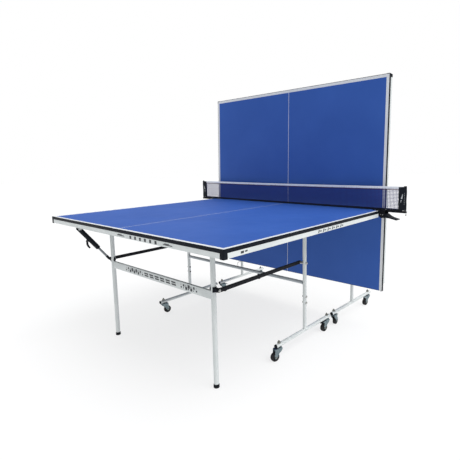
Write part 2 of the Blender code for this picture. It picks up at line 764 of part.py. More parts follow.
def make_net_post(side):
    """The clamp body on the board's edge, the arm out from it and the flat post that holds the net."""
    sign = SIDES[side]

    def piece(name, low, high, material=None):
        near, far = sorted((sign * low[1], sign * high[1]))
        return box(name, (low[0], near, low[2]), (high[0], far, high[2]), material)

    top = SURFACE_HEIGHT
    inner = NET_HALF_LENGTH - NET_SLEEVE_WIDTH
    post = piece(
        f"net_{side}_post",
        (-NET_SLEEVE_DEPTH / 2, inner, top + 0.002),
        (NET_SLEEVE_DEPTH / 2, NET_HALF_LENGTH, top + NET_HEIGHT + 0.002),
        MATERIALS["black_plastic"],
    )
    arm = piece(
        "net_arm",
        (-ARM_HALF_WIDTH, CLAMP_SIDE - 0.030, top + GAP),
        (ARM_HALF_WIDTH, NET_HALF_LENGTH + 0.004, top + ARM_TOP),
    )
    jaw = piece(
        "upper_jaw",
        (CLAMP_X[0], CLAMP_SIDE - JAW_IN, top + GAP),
        (JAW_END_X, CLAMP_SIDE + CLAMP_OUT, top + JAW_TOP),
    )
    block = piece(
        "clamp_block",
        (CLAMP_X[0], CLAMP_SIDE + 0.0025, top - CLAMP_DROP),
        (CLAMP_X[1], CLAMP_SIDE + CLAMP_OUT, top + JAW_TOP),
    )
    join(post, arm, jaw, block)
    slot = piece(
        "net_slot",
        (-NET_SLOT_HALF, inner - 0.01, top + ARM_TOP),
        (NET_SLOT_HALF, inner + 0.010, top + NET_HEIGHT + 0.01),
    )
    cut(post, slot)
    for x in LEVER_LUGS_X:
        lug = piece(
            "lever_lug",
            (x, CLAMP_SIDE + 0.005, top - CLAMP_DROP - 0.003),
            (x + LEVER_LUG_THICKNESS, LEVER_PIVOT_Y + 0.008, top - 0.012),
        )
        join(post, lug)
    pivot = (LEVER_PIVOT_Y * sign, LEVER_PIVOT_Z)
    pin_start, pin_end = LEVER_LUGS_X[0] + 0.0015, LEVER_LUGS_X[1] + 0.0015
    pin = rod("lever_pin", (pin_start, *pivot), (pin_end, *pivot), LEVER_PIN_RADIUS, PIN_SIDES)
    join(post, pin)
    return post


def make_net_lever(side):
    """The sprung lever: a lower jaw under the board and a tapering handle that slopes out and down."""
    sign = SIDES[side]
    lever = plate_across(f"net_{side}_lever", lever_outline(), sign, *LEVER_SPAN, MATERIALS["black_plastic"])
    pivot = (LEVER_PIVOT_Y * sign, LEVER_PIVOT_Z)
    cut(lever, rod("lever_bore", (-0.08, *pivot), (0.08, *pivot), LEVER_HOLE_RADIUS, PIN_SIDES))
    return lever


def plate_across(name, outline, sign, low_x, high_x, material=None):
    """A plate upright in YZ, on one side. The outline is (distance from the middle, z) points."""
    turned_x = sorted((-sign * low_x, -sign * high_x))
    obj = plate(name, outline, *turned_x, material)
    obj.data.transform(Matrix.Rotation(sign * math.pi / 2, 4, "Z"))
    return obj


def lever_outline():
    """The lower jaw and the handle, as points in YZ for the left side."""
    under = UNDERSIDE - 0.0012
    y = LEVER_PIVOT_Y
    z = LEVER_PIVOT_Z
    return [
        (CLAMP_SIDE - 0.018, under),
        (CLAMP_SIDE - 0.018, under - 0.004),
        (CLAMP_SIDE + 0.004, under - 0.037),
        (y + 0.004, z - 0.024),
        (y + 0.087, z - 0.030),
        (y + 0.088, z - 0.025),
        (y + 0.045, z - 0.012),
        (y + 0.020, z),
        (y + 0.009, z + 0.006),
        (y - 0.002, z + 0.007),
        (y - 0.009, z + 0.002),
        (CLAMP_SIDE + 0.006, under - 0.036),
        (CLAMP_SIDE - 0.004, under - 0.008),
        (CLAMP_SIDE - 0.006, under),
    ]


def main():
    front = make_half("front", {"left_outer": 172, "left_inner": 10, "right_outer": -16, "right_inner": -8})
    rear = make_half("rear", {"left_outer": 172, "left_inner": 8, "right_outer": 188, "right_inner": -6})
    fold_half(front, 0)
    fold_half(rear, REAR_FOLD)
    front[0].location = (NET_LINE_X, 0, 0)
    rear[0].location = (NET_LINE_X + REAR_POST_X + POST_X, 0, 0)
    rear[0].rotation_euler = (0, 0, math.pi)
    net_origin = joint_axis("net_origin", (0, 0, 0))
    hang([make_net()], net_origin)
    for side in SIDES:
        hang([make_net_post(side), make_net_lever(side)], net_origin)
    net_origin.location = (NET_LINE_X, 0, 0)


clear_scene()
PARTS = new_collection("ping_pong_table")
CUTTERS = new_collection("cutters")
MATERIALS = {
    "board": make_material("board", (0.09, 0.19, 0.50), 0.45),
    "white_steel": make_material("white_steel", (0.86, 0.88, 0.88), 0.35),
    "black_plastic": make_material("black_plastic", (0.015, 0.018, 0.022), 0.45),
    "black_rubber": make_material("black_rubber", (0.02, 0.02, 0.02), 0.7),
    "zinc": make_material("zinc", (0.50, 0.54, 0.58), 0.35, 1.0),
    "net": make_material("net", (0.10, 0.11, 0.12), 0.9),
}
main()
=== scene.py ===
"""Looks for the folding ping pong table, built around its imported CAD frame.

Every piece of a half is modelled once, where the front half stands at rest. The rear half's twin is the
same mesh carried over by the matrix of its body, so both halves have the same detail. Casters are
modelled once about their swivel axis. All lengths are metres.
"""

import json
import math

import bmesh
import bpy
from mathutils import Matrix, Vector


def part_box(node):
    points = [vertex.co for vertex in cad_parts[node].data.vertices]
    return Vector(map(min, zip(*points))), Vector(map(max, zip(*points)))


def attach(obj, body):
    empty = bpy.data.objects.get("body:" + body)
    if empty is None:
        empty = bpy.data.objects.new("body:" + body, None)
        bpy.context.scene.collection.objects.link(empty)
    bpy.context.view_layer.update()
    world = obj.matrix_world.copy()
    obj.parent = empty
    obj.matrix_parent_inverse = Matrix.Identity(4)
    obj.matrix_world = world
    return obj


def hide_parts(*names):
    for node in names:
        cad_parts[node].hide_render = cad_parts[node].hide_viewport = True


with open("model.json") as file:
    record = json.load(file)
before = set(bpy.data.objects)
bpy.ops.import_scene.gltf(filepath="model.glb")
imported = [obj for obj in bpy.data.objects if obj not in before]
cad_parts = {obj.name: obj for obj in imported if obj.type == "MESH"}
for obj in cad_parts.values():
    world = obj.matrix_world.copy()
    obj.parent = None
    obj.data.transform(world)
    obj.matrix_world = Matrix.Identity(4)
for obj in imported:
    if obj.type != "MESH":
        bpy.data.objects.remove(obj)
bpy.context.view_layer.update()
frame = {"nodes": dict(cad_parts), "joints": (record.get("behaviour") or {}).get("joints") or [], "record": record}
JOINTS = {j["name"]: j for j in frame["joints"]}
COUPLINGS = {c["joint"]: c["ratio"] for c in frame["record"]["behaviour"]["couplings"]}


def anchor(joint):
    return Vector(JOINTS[joint]["pos_m"])


# Where things are, read from the frame
BOARD_LOW, BOARD_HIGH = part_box("front_board")
BAND_LOW, BAND_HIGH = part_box("front_edge_band")
_, APRON_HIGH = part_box("front_apron_frame")
STAND_LOW, STAND_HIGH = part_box("front_left_stand")
_, POST_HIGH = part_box("front_left_post")
BAR_LOW, BAR_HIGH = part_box("front_crossbar")
LEG_LOW, LEG_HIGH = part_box("front_leg_frame")
FOOT_LOW, FOOT_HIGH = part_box("front_left_foot")
STRUT_LOW, STRUT_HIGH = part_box("front_left_strut")
CORNER_LOW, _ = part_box("front_left_corner")
NET_LOW, NET_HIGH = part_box("net")
NET_POST_LOW, NET_POST_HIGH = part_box("net_left_post")
LEVER_LOW, LEVER_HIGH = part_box("net_left_lever")
TOP = BAND_HIGH.z
UNDERSIDE = BAND_LOW.z
NET_EDGE = BAND_HIGH.x
BASELINE = BAND_LOW.x
SIDE = BAND_HIGH.y
PIVOT = anchor("front_fold")
LEG_PIVOT = anchor("front_leg_swing")
STRUT_PIVOT = anchor("front_strut_swing")
LATCH_TOP = anchor("front_latch_sleeve_swing")
LATCH_FOOT = anchor("front_latch_rod_swing")
TRIGGER_PIN = anchor("front_trigger_pull")
POST_Y = anchor("front_left_outer_swivel").y
POST_R = (STAND_HIGH.y - STAND_LOW.y) / 2
BEAM_Z = STAND_LOW.z + POST_R
JOIN_Z = STAND_HIGH.z
BAR_Z = (BAR_LOW.z + BAR_HIGH.z) / 2
BAR_R = (BAR_HIGH.z - BAR_LOW.z) / 2
LEG_Y = (FOOT_LOW.y + FOOT_HIGH.y) / 2
LEG_R = (LEG_HIGH.x - LEG_LOW.x) / 2
STRUT_R = (STRUT_HIGH.z - STRUT_LOW.z) / 2
WALL = 0.0015
NET_X = (NET_LOW.x + NET_HIGH.x) / 2
NET_TOP = NET_HIGH.z
CASTERS = ("left_outer", "left_inner", "right_outer", "right_inner")
FOLD = math.radians(JOINTS["rear_fold"]["range_deg"][1])
LATCH_SHARE = 1 + COUPLINGS["front_latch_sleeve_swing"]


def rear_matrix(pivot, rear_pivot, share):
    """Carries the front half's part about pivot to where the rear half has its twin at rest."""
    turn = Matrix.Rotation(-FOLD * share, 4, "Y") @ Matrix.Rotation(math.pi, 4, "Z")
    return Matrix.Translation(rear_pivot) @ turn @ Matrix.Translation(-pivot)


TO_REAR = {
    "trolley": rear_matrix(PIVOT, anchor("rear_fold"), 0),
    "top": rear_matrix(PIVOT, anchor("rear_fold"), 1),
    "legs": rear_matrix(LEG_PIVOT, anchor("rear_leg_swing"), 0),
    "struts": rear_matrix(STRUT_PIVOT, anchor("rear_strut_swing"), 1),
    "latch_sleeve": rear_matrix(LATCH_TOP, anchor("rear_latch_sleeve_swing"), LATCH_SHARE),
    "latch_rod": rear_matrix(LATCH_FOOT, anchor("rear_latch_rod_swing"), LATCH_SHARE),
    "latch_trigger": rear_matrix(LATCH_TOP, anchor("rear_latch_sleeve_swing"), LATCH_SHARE),
}


# ---------------------------------------------------------------- materials


def opaque(colour):
    return colour if hasattr(colour, "is_output") else (*colour, 1)


class Nodes:
    """A material's node tree, with short ways to add what the looks below need."""

    def __init__(self, name):
        self.material = bpy.data.materials.new(name)
        self.material.use_nodes = True
        self.tree = self.material.node_tree
        self.shader = self.tree.nodes["Principled BSDF"]
        self.object = self.add("ShaderNodeTexCoord").outputs["Object"]

    def feed(self, node, inputs):
        """Sets each input to its value, or links it where another node's socket is given."""
        for key, value in inputs.items():
            if hasattr(value, "is_output"):
                self.tree.links.new(value, node.inputs[key])
            else:
                node.inputs[key].default_value = value

    def add(self, kind, inputs=None, **settings):
        node = self.tree.nodes.new(kind)
        for key, value in settings.items():
            setattr(node, key, value)
        self.feed(node, inputs or {})
        return node

    def math(self, operation, a, b=0.0, clamp=False):
        return self.add("ShaderNodeMath", {0: a, 1: b}, operation=operation, use_clamp=clamp).outputs[0]

    def split(self, vector):
        return self.add("ShaderNodeSeparateXYZ", {0: vector}).outputs

    def flat(self):
        """The point's place on the front half, whichever half it is on, as three sockets."""
        return self.split(self.add("ShaderNodeAttribute", attribute_name="flat").outputs["Vector"])

    def stretched(self, scale):
        return self.add("ShaderNodeMapping", {"Vector": self.object, "Scale": scale}).outputs[0]

    def noise(self, scale, detail=2.0, source=None):
        inputs = {"Vector": source or self.object, "Scale": scale, "Detail": detail}
        return self.add("ShaderNodeTexNoise", inputs).outputs["Fac"]

    def cells(self, scale):
        return self.add("ShaderNodeTexVoronoi", {"Vector": self.object, "Scale": scale}).outputs

    def between(self, value, low, high, from_low=0.0, from_high=1.0):
        inputs = {"Value": value, "From Min": from_low, "From Max": from_high, "To Min": low, "To Max": high}
        return self.add("ShaderNodeMapRange", inputs).outputs[0]

    def blend(self, factor, a, b):
        return self.add("ShaderNodeMix", {0: factor, 6: opaque(a), 7: opaque(b)}, data_type="RGBA").outputs[2]

    def bump(self, height, distance, strength=1.0, after=None):
        inputs = {"Height": height, "Distance": distance, "Strength": strength}
        if after is not None:
            inputs["Normal"] = after
        return self.add("ShaderNodeBump", inputs).outputs[0]

    def finish(self, colour, roughness, normal=None, metallic=0.0, **sockets):
        """The shader's inputs. A keyword is a socket's name with _ for each space."""
        inputs = {"Base Color": opaque(colour), "Roughness": roughness, "Metallic": metallic}
        if normal is not None:
            inputs["Normal"] = normal
        inputs.update({key.replace("_", " "): value for key, value in sockets.items()})
        self.feed(self.shader, inputs)
        return self.material


def powder_coat(name, light, shade, gloss=0.35):
    """Sprayed and baked powder: an orange-peel skin with a faint cloudiness."""
    n = Nodes(name)
    colour = n.blend(n.between(n.noise(9, 3), 0, 1, 0.35, 0.65), shade, light)
    peel = n.bump(n.noise(650, 1), 0.00012, 0.5)
    return n.finish(colour, n.between(n.noise(40, 3), 0.34, 0.48), peel, Specular_IOR_Level=gloss)


def moulded(name, base, worn, roughness=0.42, grain=1400):
    """Moulded plastic with a fine spark-eroded grain and slightly rubbed patches."""
    n = Nodes(name)
    colour = n.blend(n.between(n.noise(26, 4), 0, 1, 0.45, 0.7), base, worn)
    skin = n.bump(n.cells(grain)["Distance"], 0.00008, 0.6)
    rough = n.between(n.noise(60, 3), roughness - 0.06, roughness + 0.1)
    return n.finish(colour, rough, skin, Specular_IOR_Level=0.1)


def plated(name, base, bright, roughness=0.3, spangle=210):
    """Zinc plating: small bright and dull crystals."""
    n = Nodes(name)
    tone = n.add("ShaderNodeSeparateColor", {0: n.cells(spangle)["Color"]}).outputs[0]
    colour = n.blend(tone, base, bright)
    rough = n.between(n.noise(120, 3), roughness - 0.05, roughness + 0.12)
    return n.finish(colour, rough, n.bump(n.noise(500, 2), 0.00005, 0.4), 1.0)


def brushed(name, base, scale):
    """Drawn steel rod with fine lines along it."""
    n = Nodes(name)
    lines = n.noise(260, 3, n.stretched(scale))
    colour = n.blend(n.between(lines, 0, 1, 0.3, 0.7), base, tuple(c * 0.7 for c in base))
    return n.finish(colour, n.between(lines, 0.22, 0.4), n.bump(lines, 0.00006, 0.5), 1.0)


LINE_WIDTH = 0.02
CENTRE_LINE_WIDTH = 0.003
PAINT_DEPTH = 0.0009


def painted_board():
    """Blue lacquer with white side, end and centre lines above, bare sealed board below."""
    n = Nodes("board_paint")
    x, y, z = n.flat()
    across = n.math("ABSOLUTE", y)
    side = n.math("GREATER_THAN", across, SIDE - LINE_WIDTH)
    end = n.math("LESS_THAN", x, BASELINE + LINE_WIDTH)
    centre = n.math("LESS_THAN", across, CENTRE_LINE_WIDTH / 2)
    line = n.math("MAXIMUM", n.math("MAXIMUM", side, end), centre)
    above = n.math("GREATER_THAN", z, TOP - PAINT_DEPTH)
    cloud = n.between(n.noise(3.0, 4), 0, 1, 0.35, 0.65)
    blue = n.blend(cloud, (0.031, 0.104, 0.415), (0.037, 0.117, 0.45))
    white = n.blend(cloud, (0.74, 0.76, 0.78), (0.8, 0.82, 0.84))
    painted = n.blend(line, blue, white)
    fibres = n.noise(90, 5, n.stretched((1, 4, 1)))
    sealed = n.blend(n.between(fibres, 0, 1, 0.3, 0.7), (0.03, 0.033, 0.04), (0.055, 0.058, 0.066))
    colour = n.blend(above, sealed, painted)
    tooth = n.noise(1100, 2)
    skin = n.bump(tooth, 0.0001, 0.55)
    step = n.bump(n.math("MULTIPLY", line, above), 0.00006, 0.8, skin)
    rough = n.between(n.noise(14, 4), 0.5, 0.6)
    return n.finish(colour, rough, step, Specular_IOR_Level=0.24)


def rubber(name, base):
    """Rubber with a little dust on it."""
    n = Nodes(name)
    dust = n.between(n.noise(70, 5), 0, 1, 0.5, 0.75)
    colour = n.blend(dust, base, tuple(c + 0.03 for c in base))
    skin = n.bump(n.noise(420, 4), 0.00025, 0.5)
    return n.finish(colour, 0.72, skin, Specular_IOR_Level=0.2)


def cloth(name, base, light, pitch, sheen=0.25):
    """Plain-woven cloth in the net's plane: threads over and under along Y and Z."""
    n = Nodes(name)
    _, y, z = n.split(n.object)
    turns = 2 * math.pi / pitch
    weft = n.math("SINE", n.math("MULTIPLY", y, turns))
    warp = n.math("SINE", n.math("MULTIPLY", z, turns))
    weave = n.between(n.math("MULTIPLY", weft, warp), 0, 1, -1, 1)
    shade = n.math("ADD", n.math("MULTIPLY", weave, 0.7), n.math("MULTIPLY", n.noise(60, 4), 0.5), True)
    colour = n.blend(shade, base, light)
    crease = n.bump(n.noise(45, 3), 0.0006, 0.5)
    skin = n.bump(weave, 0.00018, 0.7, crease)
    return n.finish(colour, 0.85, skin, Sheen_Weight=sheen, Specular_IOR_Level=0.15)


def twine(name, base, light, pitch=520):
    """Twisted cord."""
    n = Nodes(name)
    inputs = {"Vector": n.object, "Scale": pitch, "Distortion": 1.5}
    wave = n.add("ShaderNodeTexWave", inputs, wave_type="BANDS", bands_direction="DIAGONAL").outputs["Fac"]
    return n.finish(n.blend(wave, base, light), 0.8, n.bump(wave, 0.0002, 0.6), Specular_IOR_Level=0.15)


def ink(name, base):
    """Screen-printed paint: nearly even, with pinholes."""
    n = Nodes(name)
    worn = n.between(n.noise(300, 4), 0, 0.25, 0.55, 0.8)
    colour = n.blend(worn, base, (0.6, 0.62, 0.63))
    return n.finish(colour, 0.45, n.bump(n.noise(700, 2), 0.00005, 0.4))


BOARD = painted_board()
WHITE_STEEL = powder_coat("white_powder_coat", (0.73, 0.765, 0.765), (0.66, 0.7, 0.7))
BLACK_STEEL = powder_coat("black_powder_coat", (0.009, 0.01, 0.014), (0.006, 0.007, 0.01), 0.1)
BLACK = moulded("black_plastic", (0.005, 0.007, 0.011), (0.01, 0.013, 0.018))
EDGE = moulded("edge_band_plastic", (0.004, 0.006, 0.011), (0.007, 0.01, 0.017), 0.42, 900)
GREY = moulded("grey_plastic", (0.1, 0.11, 0.12), (0.15, 0.16, 0.17))
HUB = moulded("hub_plastic", (0.02, 0.021, 0.02), (0.045, 0.046, 0.042))
# Painted shade: the crossbar is the same white powder coat as the rest of the trolley, darkened to grey to stand
# in for the shade it sits in under the top.
WHITE_STEEL_PAINTED_SHADE = powder_coat("white_powder_coat_painted_shade", (0.46, 0.5, 0.53), (0.4, 0.44, 0.47))
ZINC = plated("zinc_plate", (0.15, 0.2, 0.22), (0.27, 0.33, 0.35), 0.38)
BRIGHT = plated("bright_bolts", (0.42, 0.43, 0.42), (0.62, 0.62, 0.6), 0.28, 400)
NUTS = plated("caster_nuts", (0.2, 0.2, 0.18), (0.32, 0.32, 0.29), 0.34, 400)
BLUED = plated("blued_plate", (0.035, 0.055, 0.1), (0.08, 0.11, 0.17), 0.36)
STEEL = brushed("drawn_steel", (0.26, 0.28, 0.3), (1, 12, 1))
TYRE = rubber("black_tyre", (0.014, 0.014, 0.015))
TAPE = cloth("white_tape", (0.78, 0.82, 0.88), (0.9, 0.92, 0.96), 0.0009)
SLEEVE_CLOTH = cloth("black_sleeve_cloth", (0.005, 0.007, 0.011), (0.016, 0.02, 0.028), 0.0012, 0.05)
NET_TWINE = twine("net_twine", (0.03, 0.038, 0.19), (0.058, 0.07, 0.27))
DARK_CORD = twine("dark_red_cord", (0.05, 0.01, 0.018), (0.12, 0.03, 0.045), 700)
PALE_CORD = twine("pale_cord", (0.16, 0.17, 0.18), (0.32, 0.33, 0.34), 900)
THREAD = twine("white_thread", (0.55, 0.56, 0.58), (0.8, 0.81, 0.83), 1400)
INK = ink("printed_marks", (0.014, 0.018, 0.026))
PALE_INK = ink("pale_marks", (0.62, 0.65, 0.67))


# ---------------------------------------------------------------- shapes: (points, faces)


POLE_SPREAD = 2.5e-5
CUT_EDGE = 0.0003
WASHER = 0.0012


def merge(*shapes):
    points, faces = [], []
    for more_points, more_faces in shapes:
        start = len(points)
        points += more_points
        faces += [tuple(i + start for i in face) for face in more_faces]
    return points, faces


def moved(shape, matrix):
    return [matrix @ Vector(p) for p in shape[0]], shape[1]


def mirrored(shape):
    """The same shape on the other side of the table."""
    return [Vector((p[0], -p[1], p[2])) for p in shape[0]], [tuple(reversed(f)) for f in shape[1]]


def both_sides(shape):
    return merge(shape, mirrored(shape))


def block(low, high):
    xs, ys, zs = zip(low, high)
    points = [Vector((x, y, z)) for x in xs for y in ys for z in zs]
    return points, [(0, 1, 3, 2), (4, 6, 7, 5), (0, 4, 5, 1), (2, 3, 7, 6), (0, 2, 6, 4), (1, 5, 7, 3)]


def rings(loops, closed=False):
    """Skins a list of rings that have the same number of points, and caps its ends unless it is closed."""
    points = [Vector(p) for loop in loops for p in loop]
    size = len(loops[0])
    faces = []
    last = len(loops) if closed else len(loops) - 1
    for i in range(last):
        a, b = i * size, (i + 1) % len(loops) * size
        for k in range(size):
            m = (k + 1) % size
            faces.append((a + k, a + m, b + m, b + k))
    if not closed:
        faces.append(tuple(reversed(range(size))))
        faces.append(tuple(range(len(points) - size, len(points))))
    return points, faces


PLANES = {"X": lambda u, v, w: (w, u, v), "Y": lambda u, v, w: (u, w, v), "Z": lambda u, v, w: (u, v, w)}


def prism(outline, axis, low, high):
    """A flat outline carried from low to high along an axis. It is (y, z), (x, z) or (x, y) points."""
    place = PLANES[axis]
    return rings([[place(u, v, w) for u, v in outline] for w in (low, high)])


def crosswise(direction):
    """A direction at unit length, and two more that are square to it and to each other."""
    along = Vector(direction).normalized()
    a = along.orthogonal().normalized()
    return along, a, along.cross(a)


def circle(centre, a, b, radius, sides):
    turns = [2 * math.pi * k / sides for k in range(sides)]
    return [centre + radius * (a * math.cos(t) + b * math.sin(t)) for t in turns]


def frames(points):
    """A pair of crosswise directions at each point of a line, with no twist between them."""
    last = len(points) - 1
    tangents = [(points[min(i + 1, last)] - points[max(i - 1, 0)]).normalized() for i in range(last + 1)]
    side = tangents[0].orthogonal().normalized()
    found = []
    for tangent in tangents:
        side = (side - tangent * side.dot(tangent)).normalized()
        found.append((side, tangent.cross(side)))
    return found


def sweep(line, radius, sides=20):
    """A round bar along a line."""
    line = [Vector(p) for p in line]
    return rings([circle(point, a, b, radius, sides) for point, (a, b) in zip(line, frames(line))])


def lathe(profile, base, direction, sides=28, closed=False):
    """Turns a profile of (radius, height) about a line.

    A radius of 0 closes an end. It is a ring of next to no size here, and one point once it is made.
    """
    along, a, b = crosswise(direction)
    tiny = POLE_SPREAD * 0.4
    return rings([circle(Vector(base) + along * h, a, b, max(r, tiny), sides) for r, h in profile], closed)


def pipe(start, end, radius):
    """A straight tube, open at both ends, with its cut edges broken."""
    run = Vector(end) - Vector(start)
    length, bore, lip = run.length, radius - WALL, CUT_EDGE
    profile = [(bore, 0), (radius - lip, 0), (radius, lip)]
    profile += [(radius, length - lip), (radius - lip, length), (bore, length)]
    return lathe(profile, start, run, 32, closed=True)


def arc(centre, radius, start, end, steps):
    turns = [math.radians(start + (end - start) * step / steps) for step in range(steps + 1)]
    return [(centre[0] + radius * math.cos(t), centre[1] + radius * math.sin(t)) for t in turns]


def rounded(low, high, radius, steps=4):
    """A rectangle with round corners, as points anticlockwise."""
    (x0, y0), (x1, y1), r = low, high, radius
    return (
        arc((x1 - r, y0 + r), r, -90, 0, steps) + arc((x1 - r, y1 - r), r, 0, 90, steps)
        + arc((x0 + r, y1 - r), r, 90, 180, steps) + arc((x0 + r, y0 + r), r, 180, 270, steps)
    )


def smooth_line(points, steps):
    """A Catmull-Rom line through the points."""
    points = [Vector(p) for p in points]
    ends = [2 * points[0] - points[1], *points, 2 * points[-1] - points[-2]]
    found = []
    for i in range(1, len(ends) - 2):
        a, b, c, d = ends[i - 1 : i + 3]
        for step in range(steps):
            t = step / steps
            curve = 2 * b + (c - a) * t + (2 * a - 5 * b + 4 * c - d) * t**2 + (3 * b - a - 3 * c + d) * t**3
            found.append(0.5 * curve)
    return [*found, points[-1]]


def hex_nut(base, direction, across, height):
    """A chamfered hexagon, for a nut or a bolt's head."""
    r = across / 2 / math.cos(math.pi / 6)
    chamfer = 0.12 * across
    profile = [(0, 0), (r, 0), (r, height - chamfer * 0.4), (r - chamfer, height), (0, height)]
    return lathe(profile, base, direction, 6)


def dome(base, direction, radius, height, steps, rim=0.0):
    """A round cap that swells from its rim."""
    profile = [(0, 0), (radius, 0), (radius, rim)]
    for step in range(1, steps + 1):
        angle = math.pi / 2 * step / steps
        profile.append((radius * math.cos(angle), rim + (height - rim) * math.sin(angle)))
    return lathe(profile, base, direction, 24)


def washer(base, direction, radius, height=WASHER):
    edge = height * 0.3
    profile = [(0, 0), (radius - edge, 0), (radius, edge), (radius, height - edge), (radius - edge, height)]
    return lathe([*profile, (0, height)], base, direction, 24)


def bolt(base, direction, across, height):
    base, along = Vector(base), Vector(direction).normalized()
    return merge(washer(base, along, across * 0.72), hex_nut(base + along * WASHER, along, across, height))


def button(base, direction, radius, height):
    """A low domed head with a socket in it."""
    rim, socket = 0.0006, radius * 0.36
    head = [(0, 0), (radius, 0), (radius, rim)]
    head += [(radius * math.cos(t), rim + (height - rim) * math.sin(t)) for t in (0.4, 0.8, 1.1)]
    return lathe([*head, (socket, height), (socket, height * 0.45), (0, height * 0.45)], base, direction, 24)


def weld_bead(ripples, size, depth, section):
    """A rippled bead. section gives its middle at an angle, and the directions outward and along the tube."""
    loops = []
    for k in range(ripples * 3):
        t = 2 * math.pi * k / (ripples * 3)
        middle, out, along = section(t)
        loops.append(circle(middle, out, along, size * (1 + depth * math.sin(ripples * t)), 8))
    return rings(loops, closed=True)


def weld(centre, direction, radius, size):
    """The weld around a tube's end."""
    along, a, b = crosswise(direction)

    def section(t):
        out = a * math.cos(t) + b * math.sin(t)
        return Vector(centre) + out * radius, out, along

    return weld_bead(20, size, 0.16, section)


def saddle_weld(x, y, z, radius):
    """The weld where an upright tube stands on a level one that runs along X."""

    def section(t):
        out = Vector((math.cos(t), math.sin(t), 0))
        lift = radius * max(abs(math.cos(t)), 0.25)
        return Vector((x, y, z + lift)) + out * radius, out, Vector((0, 0, 1))

    return weld_bead(22, 0.0022, 0.15, section)


# ---------------------------------------------------------------- pieces


SHARP = 38
SIDES = ("left", "right")


def place_object(name, data):
    obj = bpy.data.objects.new(name, data)
    bpy.context.scene.collection.objects.link(obj)
    return obj


def break_edges(obj, width, segments=2, angle=SHARP):
    modifier = obj.modifiers.new("edges", "BEVEL")
    modifier.width = width
    modifier.segments = segments
    modifier.limit_method = "ANGLE"
    modifier.angle_limit = math.radians(angle)
    modifier.harden_normals = True


def make(name, shape, material, body, replaces=(), bevel=0.0, segments=2, flat=None, angle=SHARP):
    """One piece, riding on a body. flat is where its points are on the front half."""
    points, faces = shape
    mesh = bpy.data.meshes.new(name)
    mesh.from_pydata([tuple(p) for p in points], [], faces)
    attribute = mesh.attributes.new("flat", "FLOAT_VECTOR", "POINT")
    attribute.data.foreach_set("vector", [c for p in (flat or points) for c in p])
    shape_edit = bmesh.new()
    shape_edit.from_mesh(mesh)
    bmesh.ops.remove_doubles(shape_edit, verts=shape_edit.verts, dist=POLE_SPREAD)
    bmesh.ops.recalc_face_normals(shape_edit, faces=shape_edit.faces)
    shape_edit.to_mesh(mesh)
    shape_edit.free()
    mesh.materials.append(material)
    mesh.shade_smooth()
    mesh.set_sharp_from_angle(angle=math.radians(angle))
    piece = place_object(name, mesh)
    if bevel:
        break_edges(piece, bevel, segments, angle)
    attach(piece, body)
    if replaces:
        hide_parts(*replaces)
    return piece


def on_halves(name, shape, material, body, replaces=(), **options):
    """The piece on the front half and its twin on the rear half."""
    for half, half_shape in (("front", shape), ("rear", moved(shape, TO_REAR[body]))):
        nodes = [f"{half}_{node}" for node in replaces]
        make(f"{half}_{name}", half_shape, material, f"{half}_{body}", nodes, flat=shape[0], **options)


def on_side(side, name, shape, material, body, node=None, **options):
    """The piece on the left or right side of both halves, in place of the CAD node of that side."""
    placed = mirrored(shape) if side == "right" else shape
    replaces = [f"{side}_{node}"] if node else []
    on_halves(f"{side}_{name}", placed, material, body, replaces, **options)


def dress(node, material):
    """A CAD node that keeps its own shape: a finish, and edges that catch the light."""
    obj = frame["nodes"][node]
    obj.data.materials.clear()
    obj.data.materials.append(material)
    joined = obj.modifiers.new("weld", "WELD")
    joined.merge_threshold = 1e-5
    break_edges(obj, 0.0004)


# ---------------------------------------------------------------- the tops


LIP = 0.0032
LIP_PROUD = 0.0008


def edge_band():
    """A plastic band with rounded shoulders around the board, whose lower lip laps over the apron's face."""
    depth = BOARD_LOW.x - BASELINE
    out = -LIP_PROUD
    low = UNDERSIDE - LIP
    r = 0.0016
    profile = [(depth, UNDERSIDE), (0, UNDERSIDE), (0, low), (out + 0.0004, low)]
    profile += [(out, low + 0.0005), (out, TOP - r)]
    profile += [(out + r - a, TOP - r + b) for a, b in ((0.87 * r, 0.5 * r), (0.5 * r, 0.87 * r))]
    profile += [(out + r, TOP), (depth, TOP)]
    corners = [(NET_EDGE, SIDE, 0, -1), (BASELINE, SIDE, 1, -1)]
    corners += [(BASELINE, -SIDE, 1, 1), (NET_EDGE, -SIDE, 0, 1)]
    loops = [[(x + sx * inset, y + sy * inset, z) for inset, z in profile] for x, y, sx, sy in corners]
    return merge(rings(loops), net_edge_band(depth, r))


def net_edge_band(depth, r):
    """The band along the net edge, which has no apron to lap over."""
    low = [(NET_EDGE - depth, UNDERSIDE), (NET_EDGE - r, UNDERSIDE), (NET_EDGE, UNDERSIDE + r)]
    high = [(NET_EDGE, TOP - r), (NET_EDGE - r, TOP), (NET_EDGE - depth, TOP)]
    return prism(low + high, "Y", -SIDE + depth, SIDE - depth)


def corner_cap(x, towards, bottom, arm, wall, top):
    """A rounded black corner protector, as an L of plastic that wraps one corner on the +Y side."""
    radius = 0.005
    centre = (x + towards * (radius - wall), SIDE + wall - radius)
    outer = [(x + towards * arm, SIDE + wall)]
    outer += arc(centre, radius, 90, 180 if towards > 0 else 0, 5)
    outer += [(x - towards * wall, SIDE - arm)]
    inner = [(x, SIDE - arm), (x, SIDE), (x + towards * arm, SIDE)]
    return prism(outer + inner, "Z", bottom, top)


